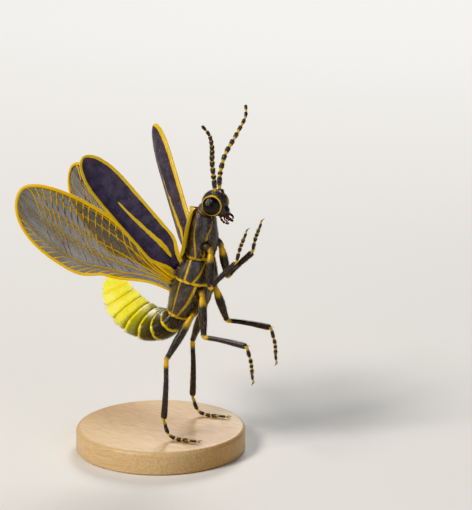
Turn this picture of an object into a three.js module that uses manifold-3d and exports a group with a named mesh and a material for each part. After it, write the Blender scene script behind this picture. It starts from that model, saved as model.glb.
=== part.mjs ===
// Firefly: a night-flying beetle with long pale-edged wing cases, standing upright on its hind feet.
// Millimetres. +X is the way it faces, +Y its left side, +Z up. The origin is the middle of the
// base's underside. Paired pieces are modelled on the right side and mirrored to the left.
import * as THREE from "three";
import { LoftGeometry } from "three/addons/geometries/LoftGeometry.js";
import { mergeVertices } from "three/addons/utils/BufferGeometryUtils.js";
import Module from "manifold-3d";

const wasm = await Module();
wasm.setup();

const point = (x, y, z) => new THREE.Vector3(x, y, z);

// Clearance between pieces that meet
const GAP = 0.25;

// Base
const BASE_RADIUS = 5.8;
const BASE_THICKNESS = 1.6;
const BASE_BEVEL = 0.25;
const BASE_SIDES = 32;

// The body stands this far in front of the middle of the base, so that its weight is over it
const BODY_FORWARD = 3.1;

// Lengths along the body, from the neck to the waist
const PRONOTUM_LENGTH = 2.9;
const MESOTHORAX_LENGTH = 1.5;
const METATHORAX_LENGTH = 2.6;

// Rings of the abdomen in each of its three lengths, and the share by which each ring steps in
// where it comes out from under the one before. Most of that step is made up by a ring's shoulder.
// The lengths part wider, as the abdomen bends.
const FRONT_RINGS = 3;
const REAR_RINGS = 2;
const LANTERN_RINGS = 3;
const RING_STEP = 0.09;
const RING_LIP = 0.05;
const RING_SHOULDER = { at: 0.35, share: 0.3 };
const BEND_GAP = 0.36;

// Half sizes of the body's sections: sideways, towards the back and towards the belly
const PROTHORAX = { side: 1.35, back: 0.6, belly: 1.1 };
const THORAX = { side: 1.9, back: 1.05, belly: 1.6 };
const ABDOMEN = { side: 2.15, back: 0.88, belly: 1.15 };

// Where the body draws in: over what length, and by what share of each half size
const NECK = { reach: 1.4, side: 0.2, back: 0, belly: 0.15 };
const SHOULDER = { reach: 1.2, side: 0.12, back: 0.2, belly: 0.2 };
const WAIST = { reach: 1.4, side: 0.16, back: 0.25, belly: 0.3 };

// The abdomen starts at this share of its full width, is full at one share of its length and
// rounds off from another. Its depth follows a power of its width, so it rounds off later.
const ABDOMEN_START_WIDTH = 0.78;
const ABDOMEN_FULL = 0.35;
const ABDOMEN_TAPER = 0.45;
const ABDOMEN_TIP_WIDTH = 0.2;
const ABDOMEN_DEPTH_POWER = 0.8;

// Pronotum shield, with its arch's top and the fall and spread of its sides as shares of the arch
const SHIELD_WIDTH = 3.8;
const SHIELD_THICKNESS = 0.5;
const SHIELD_ARCH = 0.5;
const SHIELD_DOME = { top: 0.5, fall: 1.1, spread: 0.3 };
const SHIELD_OVERHANG = 0.3;
const SHIELD_FRONT_WIDTH = 0.39;

// Scutellum, the small triangle between the roots of the wing cases
const SCUTELLUM_CENTRE = point(-1.5, 0, 11.75);
const SCUTELLUM_HALF = point(0.35, 0.5, 0.4);

// Head
const HEAD_CENTRE = point(0.9, 0, 15.9);
const HEAD_HALF = point(0.88, 0.85, 0.9);
const MUZZLE_CENTRE = point(1.5, 0, 15.38);
const MUZZLE_HALF = point(0.46, 0.56, 0.46);
const MOUTHPART_TAPER = 0.55;
const MANDIBLE_THICK = 0.34;
const MANDIBLE_COURSE = [point(0.1, -0.3, -0.1), point(0.48, -0.3, -0.26), point(0.66, -0.08, -0.36)];
const PALP_THICK = 0.3;
const PALP_COURSE = [point(-0.1, -0.34, -0.25), point(0.12, -0.44, -0.58), point(0.42, -0.4, -0.72)];
const SOCKET_CENTRE = point(1.1, -0.42, 16.55);
const SOCKET_RADIUS = 0.34;
const EYE_CENTRE = point(0.95, -0.74, 15.85);
const EYE_RADIUS = 0.62;
const EYE_BULGE = 0.54;

// Antennae: a long first joint, a short second one and nine like ones
const ANTENNA_THICK = 0.54;
const ANTENNA_TIP = 0.34;
const ANTENNA_TAPER = 0.35;
const ANTENNA_JOINTS = [1.4, 0.6, ...Array(9).fill(1)];

// A joint of an antenna or a tarsus starts at this share of its thickness, and is widest at this
// share of its length before its end. The last one ends at a share of its own.
const JOINT_WAIST = 0.84;
const JOINT_LIP = 0.12;
const JOINT_END = 0.6;

// Elytra, the hard wing cases. The rim thickens between two shares of the width from the middle.
const ELYTRON_LENGTH = 10.4;
const ELYTRON_WIDTH = 2.4;
const ELYTRON_THICKNESS = 0.5;
const ELYTRON_RIM = 0.16;
const ELYTRON_RIM_FROM = 0.39;
const ELYTRON_RIM_TO = 0.45;
const ELYTRON_RIB = 0.1;
const ELYTRON_RIB_HALF = 0.06;
const ELYTRON_FLANK = 0.23;
const ELYTRON_ARCH = 0.42;
const ELYTRON_HINGE_WIDTH = 0.42;
const ELYTRON_SHOULDER = 0.2;
const ELYTRON_ROUNDING = 0.66;
const ELYTRON_TIP_WIDTH = 0.16;
const ELYTRON_ROOT = point(-1.15, -1.45, 11.65);
const ELYTRON_RUN = point(-0.45, -0.45, 0.77);

// Hind wings, with their main veins given as shares of the chord from the leading edge
const WING_LENGTH = 11.8;
const WING_WIDTH = 4.5;
const WING_THICKNESS = 0.5;
const WING_CAMBER = 0.3;
const WING_HINGE_WIDTH = 0.2;
const WING_FULL = 0.55;
const WING_TIP_WIDTH = 0.15;
const WING_LEADING_SHARE = 0.36;
const WING_NOTCH = { at: 0.36, reach: 0.06, depth: 0.07, from: 0.6 };
const WING_ROOT = point(-1.8, -0.8, 10.45);
const WING_RUN = point(-0.8, -0.28, 0.52);
const WING_VEINS = [0.05, 0.2, 0.42, 0.62, 0.83];
const VEIN_HALF = 0.035;
const VEIN_HEIGHT = 0.12;
const VEIN_FADE = 0.85;

// Legs: thickness of each part, and the lengths of the tarsus's joints as shares
const COXA_THICK = 0.86;
const FEMUR_THICK = 0.68;
const KNEE_THICK = 0.52;
const TIBIA_THICK = 0.56;
const TARSUS_THICK = 0.54;
const TARSUS_JOINTS = [1.7, 0.95, 0.75, 0.7, 1.2];
const CLAW_THICK = 0.24;
const CLAW_LENGTH = 0.42;
const CLAW_TAPER = 0.6;
const CLAW_STOPS = [-0.15, 0.5, 1];
const CLAW_SPREAD = { root: 0.06, tip: 0.2 };

// Thickness along the hip and femur, and along the tibia
const FEMUR_STOPS = [
  { at: 0, thick: COXA_THICK },
  { at: 0.2, thick: COXA_THICK },
  { at: 0.3, thick: KNEE_THICK * 1.1 },
  { at: 0.42, thick: FEMUR_THICK },
  { at: 0.66, thick: FEMUR_THICK },
  { at: 0.9, thick: KNEE_THICK },
  { at: 1, thick: KNEE_THICK },
];
const TIBIA_STOPS = [
  { at: 0, thick: KNEE_THICK },
  { at: 0.5, thick: KNEE_THICK },
  { at: 0.9, thick: TIBIA_THICK },
  { at: 1, thick: TIBIA_THICK },
];

// Height of a standing foot's middle above the base
const FOOT_HEIGHT = GAP + TARSUS_THICK / 2;

// Each leg on the right side: where it leaves the body, its hip, the run and length of its femur
// and tibia, and the course of its tarsus from the ankle
const LEGS = {
  front: {
    root: point(0.05, -0.6, 13.3),
    hip: point(0.95, -0.95, 12.95),
    femur: { run: point(0.22, -0.7, -2.4), length: 2.6 },
    tibia: { run: point(1.8, 0.1, 1.87), length: 2.6 },
    tarsus: (ankle) => [ankle.clone().add(point(0.25, 0.05, 1.0)), ankle.clone().add(point(0.65, 0.1, 2.05))],
    carriers: () => [pronotum(GAP), mesothorax(GAP)],
  },
  middle: {
    root: point(-0.6, -0.7, 10.5),
    hip: point(0.4, -1.15, 10.0),
    femur: { run: point(0.5, -1.0, -2.6), length: 3.0 },
    tibia: { run: point(3.0, -0.2, -0.25), length: 3.1 },
    tarsus: (ankle) => [ankle.clone().add(point(0.3, 0, -1.1)), ankle.clone().add(point(0.4, 0.05, -2.25))],
    carriers: () => [mesothorax(GAP), metathorax(GAP)],
  },
  hind: {
    root: point(-1.1, -0.6, 9.0),
    hip: point(-0.2, -1.0, 8.55),
    femur: { run: point(-1.5, -1.45, -3.1), length: 3.7 },
    tibia: { run: point(-0.1, -0.25, -4.2), length: 4.1 },
    tarsus: (ankle) => [
      point(ankle.x + 0.5, ankle.y - 0.05, FOOT_HEIGHT + 0.12),
      point(ankle.x + 1.4, ankle.y - 0.08, FOOT_HEIGHT),
      point(ankle.x + 2.4, ankle.y - 0.1, FOOT_HEIGHT),
    ],
    carriers: () => [metathorax(GAP)],
  },
};

// The middle line of the body, from the neck down to the waist and back up to the abdomen's tip
const SPINE = new THREE.CatmullRomCurve3([
  point(0.1, 0, 15.1),
  point(-0.35, 0, 12.2),
  point(-1.5, 0, 8.6),
  point(-2.25, 0, 7.6),
  point(-3.3, 0, 7.25),
  point(-4.5, 0, 7.55),
  point(-5.6, 0, 8.4),
  point(-6.3, 0, 9.5),
  point(-6.6, 0, 10.3),
]);
const SPINE_LENGTH = SPINE.getLength();

const MESOTHORAX_START = PRONOTUM_LENGTH;
const METATHORAX_START = MESOTHORAX_START + MESOTHORAX_LENGTH;
const ABDOMEN_START = METATHORAX_START + METATHORAX_LENGTH;
const RING_LENGTH = (SPINE_LENGTH - ABDOMEN_START) / (FRONT_RINGS + REAR_RINGS + LANTERN_RINGS);

// How sharply an end rounds off: 2 is a circle's
const ROUNDING_POWER = 2.4;

// How much closer together stops lie towards a wing's tip
const TIP_CROWDING = 1.4;

const smooth = (low, high, value) => THREE.MathUtils.smoothstep(value, low, high);
const evenStops = (count) => Array.from({ length: count + 1 }, (_, index) => index / count);
const tipStops = (count) => evenStops(count).map((stop) => 1 - (1 - stop) ** TIP_CROWDING);

// Width, as a share, of an outline that rounds off from one share of its length to its end
function roundedEnd(share, from, tipWidth) {
  const into = Math.max(0, share - from) / (1 - from);
  return Math.max(tipWidth, Math.sqrt(Math.max(0, 1 - into ** ROUNDING_POWER)));
}

// Turn a closed geometry into a solid that can be joined and cut
function toSolid(geometry) {
  const bare = new THREE.BufferGeometry().copy(geometry);
  bare.deleteAttribute("normal");
  bare.deleteAttribute("uv");
  const merged = mergeVertices(bare, 1e-4);
  return new wasm.Manifold(new wasm.Mesh({
    numProp: 3,
    vertProperties: new Float32Array(merged.attributes.position.array),
    triVerts: new Uint32Array(merged.index.array),
  }));
}

// Turn a solid back into a geometry, keeping its largest closed surface
function toGeometry(solid) {
  const bodies = solid.decompose();
  bodies.sort((a, b) => b.volume() - a.volume());
  const mesh = bodies[0].getMesh();
  const geometry = new THREE.BufferGeometry();
  geometry.setAttribute("position", new THREE.BufferAttribute(new Float32Array(mesh.vertProperties), 3));
  geometry.setIndex(new THREE.BufferAttribute(new Uint32Array(mesh.triVerts), 1));
  return geometry;
}

// Join pieces into one solid
function fuse(geometries) {
  return toGeometry(geometries.map(toSolid).reduce((whole, piece) => whole.add(piece)));
}

// Cut a piece clear of its neighbours, which are given grown by the gap
function clearOf(geometry, grownNeighbours) {
  const cutters = grownNeighbours.map(toSolid);
  return toGeometry(cutters.reduce((rest, cutter) => rest.subtract(cutter), toSolid(geometry)));
}

// A right-hand piece together with its mirror image
function bothSides(geometry) {
  return [geometry, toGeometry(toSolid(geometry).mirror([0, 1, 0]))];
}

// An ellipsoid at a place
function ellipsoid(centre, half, around, rows) {
  const geometry = new THREE.SphereGeometry(1, around, rows);
  geometry.scale(half.x, half.y, half.z);
  return geometry.translate(centre.x, centre.y, centre.z);
}

// One ring of a loft: counterclockwise round the way it runs, from one direction to another
function ring(centre, first, second, sides) {
  return Array.from({ length: sides }, (_, side) => {
    const angle = (side / sides) * Math.PI * 2;
    return centre.clone()
      .addScaledVector(first(Math.cos(angle)), Math.cos(angle))
      .addScaledVector(second, Math.sin(angle));
  });
}

// A round limb along a curve, with its thickness at a few stops. grow makes a fatter and longer
// copy, to cut its neighbour with.
function limb(curve, stops, sides, grow = 0) {
  const reference = point(0, 1, 0);
  const sections = stops.map(({ at, thick }, index) => {
    const tangent = curve.getTangentAt(at);
    const ends = { 0: -grow, [stops.length - 1]: grow };
    const centre = curve.getPointAt(at).addScaledVector(tangent, ends[index] ?? 0);
    const across = reference.clone().addScaledVector(tangent, -reference.dot(tangent)).normalize();
    const radius = thick / 2 + grow;
    const over = tangent.clone().cross(across).multiplyScalar(radius);
    return ring(centre, () => across.clone().multiplyScalar(radius), over, sides);
  });
  return new LoftGeometry(sections, { capStart: true, capEnd: true });
}

// Stops of a limb made of joints, each narrow where it starts and widest just before its end
function jointStops(shares, thickAt) {
  const total = shares.reduce((sum, share) => sum + share);
  const stops = [];
  let start = 0;
  for (const share of shares) {
    const end = start + share / total;
    const lip = (end - start) * JOINT_LIP;
    stops.push({ at: start === 0 ? 0 : start + lip / 2, thick: JOINT_WAIST * thickAt(start) });
    stops.push({ at: end - lip, thick: thickAt(end) });
    start = end;
  }
  stops.push({ at: 1, thick: JOINT_END * thickAt(1) });
  return stops;
}

// A length of the body along the spine, through sections given at their stations
function trunk(cuts, sides, grow = 0) {
  const sections = cuts.map((cut, index) => {
    const spot = THREE.MathUtils.clamp(cut.station / SPINE_LENGTH, 0, 1);
    const tangent = SPINE.getTangentAt(spot);
    const ends = { 0: -grow, [cuts.length - 1]: grow };
    const centre = SPINE.getPointAt(spot).addScaledVector(tangent, ends[index] ?? 0);
    const back = towardsBack(spot);
    const depthAt = (cosine) => back.clone().multiplyScalar((cosine > 0 ? cut.back : cut.belly) + grow);
    return ring(centre, depthAt, point(0, cut.side + grow, 0), sides);
  });
  return new LoftGeometry(sections, { capStart: true, capEnd: true });
}

// The way the animal's back faces at a spot on the spine
function towardsBack(spot) {
  return point(0, 1, 0).cross(SPINE.getTangentAt(spot));
}

// A thin plate on a middle surface, both of whose faces are split into triangles alike. The stops
// run from the leading edge to the trailing edge, and from the root to the tip. outAt gives the
// way that the first face looks.
function plate(middleAt, outAt, thicknessAt, acrossStops, alongStops) {
  const columns = acrossStops.length - 1;
  const rows = alongStops.length - 1;
  const grid = new THREE.PlaneGeometry(columns, rows, columns, rows);
  const places = grid.attributes.position;
  const count = places.count;
  const vertices = [];
  for (const face of [0.5, -0.5]) {
    for (let index = 0; index < count; index += 1) {
      const across = acrossStops[Math.round(places.getX(index) + columns / 2)];
      const along = alongStops[Math.round(rows / 2 - places.getY(index))];
      const spot = middleAt(across, along);
      vertices.push(...spot.addScaledVector(outAt(along), face * thicknessAt(across, along)).toArray());
    }
  }
  const triangles = [];
  const flat = grid.index.array;
  for (let index = 0; index < flat.length; index += 3) {
    const [a, b, c] = [flat[index], flat[index + 1], flat[index + 2]];
    triangles.push(a, b, c, a + count, c + count, b + count);
  }
  const at = (column, row) => column + row * (columns + 1);
  const rim = [];
  for (let column = 0; column < columns; column += 1) rim.push(at(column, rows));
  for (let row = rows; row > 0; row -= 1) rim.push(at(columns, row));
  for (let column = columns; column > 0; column -= 1) rim.push(at(column, 0));
  for (let row = 0; row < rows; row += 1) rim.push(at(0, row));
  rim.forEach((here, index) => {
    const next = rim[(index + 1) % rim.length];
    triangles.push(here + count, next + count, next, here + count, next, here);
  });
  const geometry = new THREE.BufferGeometry();
  geometry.setAttribute("position", new THREE.Float32BufferAttribute(vertices, 3));
  geometry.setIndex(triangles);
  return geometry;
}

// A section whose half sizes are drawn in by one or two amounts
function bodyCut(station, size, tapers) {
  const cut = { station, side: size.side, back: size.back, belly: size.belly };
  for (const [taper, amount] of tapers) {
    for (const part of ["side", "back", "belly"]) cut[part] *= 1 - taper[part] * amount;
  }
  return cut;
}

// Prothorax: narrower towards the neck
function prothoraxCut(station) {
  return bodyCut(station, PROTHORAX, [[NECK, 1 - smooth(0, NECK.reach, station)]]);
}

// Mesothorax and metathorax: fullest in the middle, drawn in at the shoulders and the waist
function thoraxCut(station) {
  return bodyCut(station, THORAX, [
    [SHOULDER, 1 - smooth(MESOTHORAX_START, MESOTHORAX_START + SHOULDER.reach, station)],
    [WAIST, smooth(ABDOMEN_START - WAIST.reach, ABDOMEN_START, station)],
  ]);
}

// Abdomen: swells behind the waist and rounds off at its tip, keeping its depth longer than its width
function abdomenCut(station, scale) {
  const share = (station - ABDOMEN_START) / (SPINE_LENGTH - ABDOMEN_START);
  const swell = scale * THREE.MathUtils.lerp(ABDOMEN_START_WIDTH, 1, smooth(0, ABDOMEN_FULL, share));
  const width = roundedEnd(share, ABDOMEN_TAPER, ABDOMEN_TIP_WIDTH);
  const depth = width ** ABDOMEN_DEPTH_POWER;
  return {
    station,
    side: ABDOMEN.side * swell * width,
    back: ABDOMEN.back * swell * depth,
    belly: ABDOMEN.belly * swell * depth,
  };
}

// Sections at even stations from one to another
function between(from, to, count, cutAt) {
  return evenStops(count).map((stop) => cutAt(THREE.MathUtils.lerp(from, to, stop)));
}

// Pronotum: the flat shield over the front of the thorax, with the prothorax under it
function shield(grow) {
  const front = -SHIELD_OVERHANG - grow;
  const rear = PRONOTUM_LENGTH - GAP + grow;
  const stationAt = (along) => THREE.MathUtils.lerp(front, rear, along);
  const spotAt = (along) => Math.max(0, stationAt(along)) / SPINE_LENGTH;
  const outAt = (along) => towardsBack(spotAt(along));
  const middleAt = (across, along) => {
    const spot = spotAt(along);
    const sideways = (across - 0.5) * 2;
    const outline = roundedEnd(1 - along, 0, SHIELD_FRONT_WIDTH);
    const fall = SHIELD_DOME.fall - SHIELD_DOME.spread * sideways ** 4;
    const dome = SHIELD_DOME.top - fall * sideways ** 2;
    return SPINE.getPointAt(spot)
      .addScaledVector(SPINE.getTangentAt(spot), Math.min(0, stationAt(along)))
      .addScaledVector(outAt(along), PROTHORAX.back + SHIELD_ARCH * dome)
      .add(point(0, -(SHIELD_WIDTH / 2 + grow) * outline * sideways, 0));
  };
  return plate(middleAt, outAt, () => SHIELD_THICKNESS + 2 * grow, evenStops(12), evenStops(8));
}

function pronotum(grow = 0) {
  const core = trunk(between(0, PRONOTUM_LENGTH - GAP, 5, prothoraxCut), 20, grow);
  return fuse([core, shield(grow)]);
}

// Mesothorax: the short part that carries the wing cases, with the scutellum on its back
function mesothorax(grow = 0) {
  const body = trunk(between(MESOTHORAX_START, METATHORAX_START - GAP, 3, thoraxCut), 24, grow);
  const scutellum = ellipsoid(SCUTELLUM_CENTRE, SCUTELLUM_HALF.clone().addScalar(grow), 10, 6);
  return fuse([body, scutellum]);
}

function metathorax(grow = 0) {
  return trunk(between(METATHORAX_START, ABDOMEN_START - GAP, 5, thoraxCut), 24, grow);
}

// Some rings of the abdomen, each a little narrower where it comes out from under the last one
function abdomenRings(firstRing, count, atTip) {
  const cuts = [];
  for (let index = 0; index < count; index += 1) {
    const start = ABDOMEN_START + (firstRing + index) * RING_LENGTH;
    const lastOne = index === count - 1;
    const end = start + RING_LENGTH - (lastOne && !atTip ? BEND_GAP : 0);
    cuts.push(abdomenCut(start + (index > 0 ? RING_LIP : 0), 1 - RING_STEP));
    cuts.push(abdomenCut(start + RING_SHOULDER.at * RING_LENGTH, 1 - RING_SHOULDER.share * RING_STEP));
    cuts.push(abdomenCut(end, 1));
  }
  return trunk(cuts, 24);
}

// Eye: a dome that bulges sideways from a flat seat on the head
function eye(grow = 0) {
  const dome = evenStops(5).map((stop) => {
    const angle = (stop * Math.PI) / 2;
    const across = stop === 1 ? 0 : (EYE_RADIUS + grow) * Math.cos(angle);
    return new THREE.Vector2(across, (EYE_BULGE + grow) * Math.sin(angle));
  });
  const seat = [new THREE.Vector2(0, -grow)];
  if (grow > 0) seat.push(new THREE.Vector2(EYE_RADIUS + grow, -grow));
  const geometry = new THREE.LatheGeometry([...seat, ...dome], 16);
  geometry.rotateX(Math.PI);
  return geometry.translate(EYE_CENTRE.x, EYE_CENTRE.y, EYE_CENTRE.z);
}

// The skull and the two sockets that the antennae stand in
function skull(grow = 0) {
  const socket = ellipsoid(SOCKET_CENTRE, point(1, 1, 1).multiplyScalar(SOCKET_RADIUS + grow), 12, 8);
  return fuse([ellipsoid(HEAD_CENTRE, HEAD_HALF.clone().addScalar(grow), 24, 14), ...bothSides(socket)]);
}

// A mouthpart: a short tapering limb that leaves the muzzle and bends in
function mouthpart(places, thick) {
  const curve = new THREE.CatmullRomCurve3(places.map((place) => MUZZLE_CENTRE.clone().add(place)));
  const stops = evenStops(4).map((at) => ({ at, thick: thick * (1 - MOUTHPART_TAPER * at) }));
  return limb(curve, stops, 8);
}

// Head: skull, muzzle, two curved mandibles and two palps
function head() {
  const mandible = mouthpart(MANDIBLE_COURSE, MANDIBLE_THICK);
  const palp = mouthpart(PALP_COURSE, PALP_THICK);
  const muzzle = ellipsoid(MUZZLE_CENTRE, MUZZLE_HALF, 16, 10);
  const whole = fuse([skull(), muzzle, ...bothSides(mandible), ...bothSides(palp)]);
  return clearOf(whole, [pronotum(GAP), ...bothSides(eye(GAP))]);
}

// Antenna: a thread of joints that leans forwards and out, with its tip bent back
function antenna() {
  const curve = new THREE.CatmullRomCurve3([
    SOCKET_CENTRE,
    point(1.05, -0.5, 17.4),
    point(1.15, -1.15, 18.8),
    point(1.6, -2.4, 20.2),
    point(1.8, -3.5, 21.2),
    point(1.5, -4.3, 22.0),
  ]);
  const thickAt = (at) => THREE.MathUtils.lerp(ANTENNA_THICK, ANTENNA_TIP, smooth(ANTENNA_TAPER, 1, at));
  return clearOf(limb(curve, jointStops(ANTENNA_JOINTS, thickAt), 8), [skull(GAP)]);
}

// A wing's own frame: where it leaves the body, which way it runs, its chord from the leading edge
// to the trailing edge, and the side that faces out and forwards
function wingFrame(root, run) {
  const span = run.clone().normalize();
  const chord = point(0, 0, -1).addScaledVector(span, span.z).normalize();
  return { root, span, chord, face: span.clone().cross(chord) };
}

// Elytron: long, even in width, round at the tip, arched towards the back, with raised edges and a
// low rib along its middle
function elytron() {
  const frame = wingFrame(ELYTRON_ROOT, ELYTRON_RUN);
  const middleAt = (across, along) => {
    const rounding = roundedEnd(along, ELYTRON_ROUNDING, ELYTRON_TIP_WIDTH);
    const opening = THREE.MathUtils.lerp(ELYTRON_HINGE_WIDTH, 1, smooth(0, ELYTRON_SHOULDER, along));
    const sideways = (across - 0.5) * 2;
    return frame.root.clone()
      .addScaledVector(frame.span, ELYTRON_LENGTH * along)
      .addScaledVector(frame.chord, (ELYTRON_WIDTH / 2) * opening * rounding * sideways)
      .addScaledVector(frame.face, -ELYTRON_ARCH * rounding * (1 - sideways * sideways));
  };
  const thicknessAt = (across) => {
    const out = Math.abs(across - 0.5);
    const rib = ELYTRON_RIB * (1 - smooth(0, ELYTRON_RIB_HALF, out));
    return ELYTRON_THICKNESS + ELYTRON_RIM * smooth(ELYTRON_RIM_FROM, ELYTRON_RIM_TO, out) + rib;
  };
  const outStops = [ELYTRON_RIB_HALF, ELYTRON_FLANK, ELYTRON_RIM_FROM, ELYTRON_RIM_TO, 0.5];
  const stops = [...outStops.map((out) => -out).reverse(), 0, ...outStops].map((out) => 0.5 + out);
  const whole = plate(middleAt, () => frame.face, thicknessAt, stops, tipStops(17));
  return clearOf(whole, [mesothorax(GAP), pronotum(GAP), metathorax(GAP)]);
}

// Hind wing: a broad membrane with its main veins raised on both faces
function hindWing() {
  const frame = wingFrame(WING_ROOT, WING_RUN);
  const middleAt = (across, along) => {
    const opening = THREE.MathUtils.lerp(WING_HINGE_WIDTH, 1, smooth(0, WING_FULL, along));
    const chord = WING_WIDTH * opening * roundedEnd(along, WING_FULL, WING_TIP_WIDTH);
    const fold = Math.exp(-(((along - WING_NOTCH.at) / WING_NOTCH.reach) ** 2));
    const notched = across * (1 - WING_NOTCH.depth * smooth(WING_NOTCH.from, 1, across) * fold);
    return frame.root.clone()
      .addScaledVector(frame.span, WING_LENGTH * along)
      .addScaledVector(frame.chord, chord * (notched - WING_LEADING_SHARE))
      .addScaledVector(frame.face, -WING_CAMBER * Math.sin(Math.PI * across) * opening);
  };
  const ridgeAt = (across) => {
    const nearest = Math.min(...WING_VEINS.map((vein) => Math.abs(across - vein)));
    return 1 - smooth(0, VEIN_HALF, nearest);
  };
  const fadeAt = (along) => 1 - smooth(VEIN_FADE, 1, along);
  const thicknessAt = (across, along) => WING_THICKNESS + 2 * VEIN_HEIGHT * ridgeAt(across) * fadeAt(along);
  const stops = [0, ...WING_VEINS.flatMap((vein) => [vein - VEIN_HALF, vein, vein + VEIN_HALF]), 1];
  const whole = plate(middleAt, () => frame.face, thicknessAt, stops, tipStops(18));
  return clearOf(whole, [metathorax(GAP), mesothorax(GAP)]);
}

// Claw: a small hook that leaves the last joint of a tarsus forwards and to one side
function claw(curve, side) {
  const tangent = curve.getTangentAt(1);
  const across = point(0, 1, 0).addScaledVector(tangent, -tangent.y).normalize();
  const tip = curve.getPointAt(1);
  const spreadAt = (stop) => CLAW_SPREAD.root + CLAW_SPREAD.tip * Math.max(0, stop) ** 0.5;
  const places = CLAW_STOPS.map((stop) => tip.clone()
    .addScaledVector(tangent, CLAW_LENGTH * stop)
    .addScaledVector(across, side * spreadAt(stop)));
  const stops = evenStops(2).map((at) => ({ at, thick: CLAW_THICK * (1 - CLAW_TAPER * at) }));
  return limb(new THREE.CatmullRomCurve3(places), stops, 6);
}

// Leg: the hip and femur, the tibia and the tarsus, each a solid of its own
function leg(pose) {
  const knee = pose.hip.clone().addScaledVector(pose.femur.run.clone().normalize(), pose.femur.length);
  const ankle = knee.clone().addScaledVector(pose.tibia.run.clone().normalize(), pose.tibia.length);
  const thigh = pose.hip.clone().lerp(knee, 0.5);
  const femurCurve = new THREE.CatmullRomCurve3([pose.root, pose.hip, thigh, knee]);
  const tarsusCurve = new THREE.CatmullRomCurve3([ankle, ...pose.tarsus(ankle)]);
  const tibiaCurve = new THREE.LineCurve3(knee, ankle);
  const toes = limb(tarsusCurve, jointStops(TARSUS_JOINTS, () => TARSUS_THICK), 8);
  const tarsus = fuse([toes, claw(tarsusCurve, 1), claw(tarsusCurve, -1)]);
  return {
    femur: clearOf(limb(femurCurve, FEMUR_STOPS, 10), pose.carriers()),
    tibia: clearOf(limb(tibiaCurve, TIBIA_STOPS, 8), [limb(femurCurve, FEMUR_STOPS, 10, GAP)]),
    tarsus: clearOf(tarsus, [limb(tibiaCurve, TIBIA_STOPS, 8, GAP)]),
  };
}

// Base: a plain round plate with a small bevel
function base() {
  const profile = [
    new THREE.Vector2(0, 0),
    new THREE.Vector2(BASE_RADIUS, 0),
    new THREE.Vector2(BASE_RADIUS, BASE_THICKNESS - BASE_BEVEL),
    new THREE.Vector2(BASE_RADIUS - BASE_BEVEL, BASE_THICKNESS),
    new THREE.Vector2(0, BASE_THICKNESS),
  ];
  return new THREE.LatheGeometry(profile, BASE_SIDES).rotateX(Math.PI / 2);
}

const finish = (color, roughness) => new THREE.MeshStandardMaterial({ color, roughness, metalness: 0 });
const FINISHES = {
  shell: finish(0x34302e, 0.45),
  pronotum: finish(0xb08a3c, 0.5),
  eye: finish(0x0c0c10, 0.2),
  elytron: finish(0x3a3638, 0.55),
  wing: finish(0x8b8576, 0.3),
  lantern: finish(0xe9ec6a, 0.4),
  leg: finish(0x3d342c, 0.5),
  base: finish(0xb89a73, 0.5),
};

const model = new THREE.Group();
const firefly = new THREE.Group();
firefly.position.set(BODY_FORWARD, 0, BASE_THICKNESS);
model.add(firefly);

function addPiece(parent, name, geometry, material) {
  const mesh = new THREE.Mesh(geometry, material);
  mesh.name = name;
  parent.add(mesh);
  return mesh;
}

// A piece modelled for the right side, and its mirror image on the left
function addPair(name, geometry, material) {
  addPiece(firefly, `${name}_right`, geometry, material);
  addPiece(firefly, `${name}_left`, geometry, material).scale.y = -1;
}

addPiece(model, "stand_base", base(), FINISHES.base);
addPiece(firefly, "head", head(), FINISHES.shell);
addPiece(firefly, "pronotum", pronotum(), FINISHES.pronotum);
addPiece(firefly, "mesothorax", mesothorax(), FINISHES.shell);
addPiece(firefly, "metathorax", metathorax(), FINISHES.shell);
addPiece(firefly, "abdomen_front", abdomenRings(0, FRONT_RINGS, false), FINISHES.shell);
addPiece(firefly, "abdomen_rear", abdomenRings(FRONT_RINGS, REAR_RINGS, false), FINISHES.shell);
addPiece(firefly, "lantern", abdomenRings(FRONT_RINGS + REAR_RINGS, LANTERN_RINGS, true), FINISHES.lantern);
addPair("eye", eye(), FINISHES.eye);
addPair("antenna", antenna(), FINISHES.leg);
addPair("elytron", elytron(), FINISHES.elytron);
addPair("hind_wing", hindWing(), FINISHES.wing);
for (const [name, pose] of Object.entries(LEGS)) {
  for (const [part, geometry] of Object.entries(leg(pose))) {
    addPair(`${name}_leg_${part}`, geometry, FINISHES.leg);
  }
}

export default model;
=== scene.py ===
"""Looks of a life-size firefly model: its skin, shell plates, wings, hairs, base and studio.

A piece is shaped in millimetres in the animal's own frame, and is turned to metres in the row
frame when it is done. +X is the way the animal faces, +Y its left side and +Z up. The animal's
own origin is on top of the base. Paired pieces are shaped on the right and mirrored to the left.
"""

import logging
import math
from dataclasses import dataclass, field, replace
from enum import Enum
from functools import lru_cache
from typing import Callable, Sequence

import bmesh
import bpy
import numpy as np
from mathutils import Matrix, Vector
from mathutils.kdtree import KDTree


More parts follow.
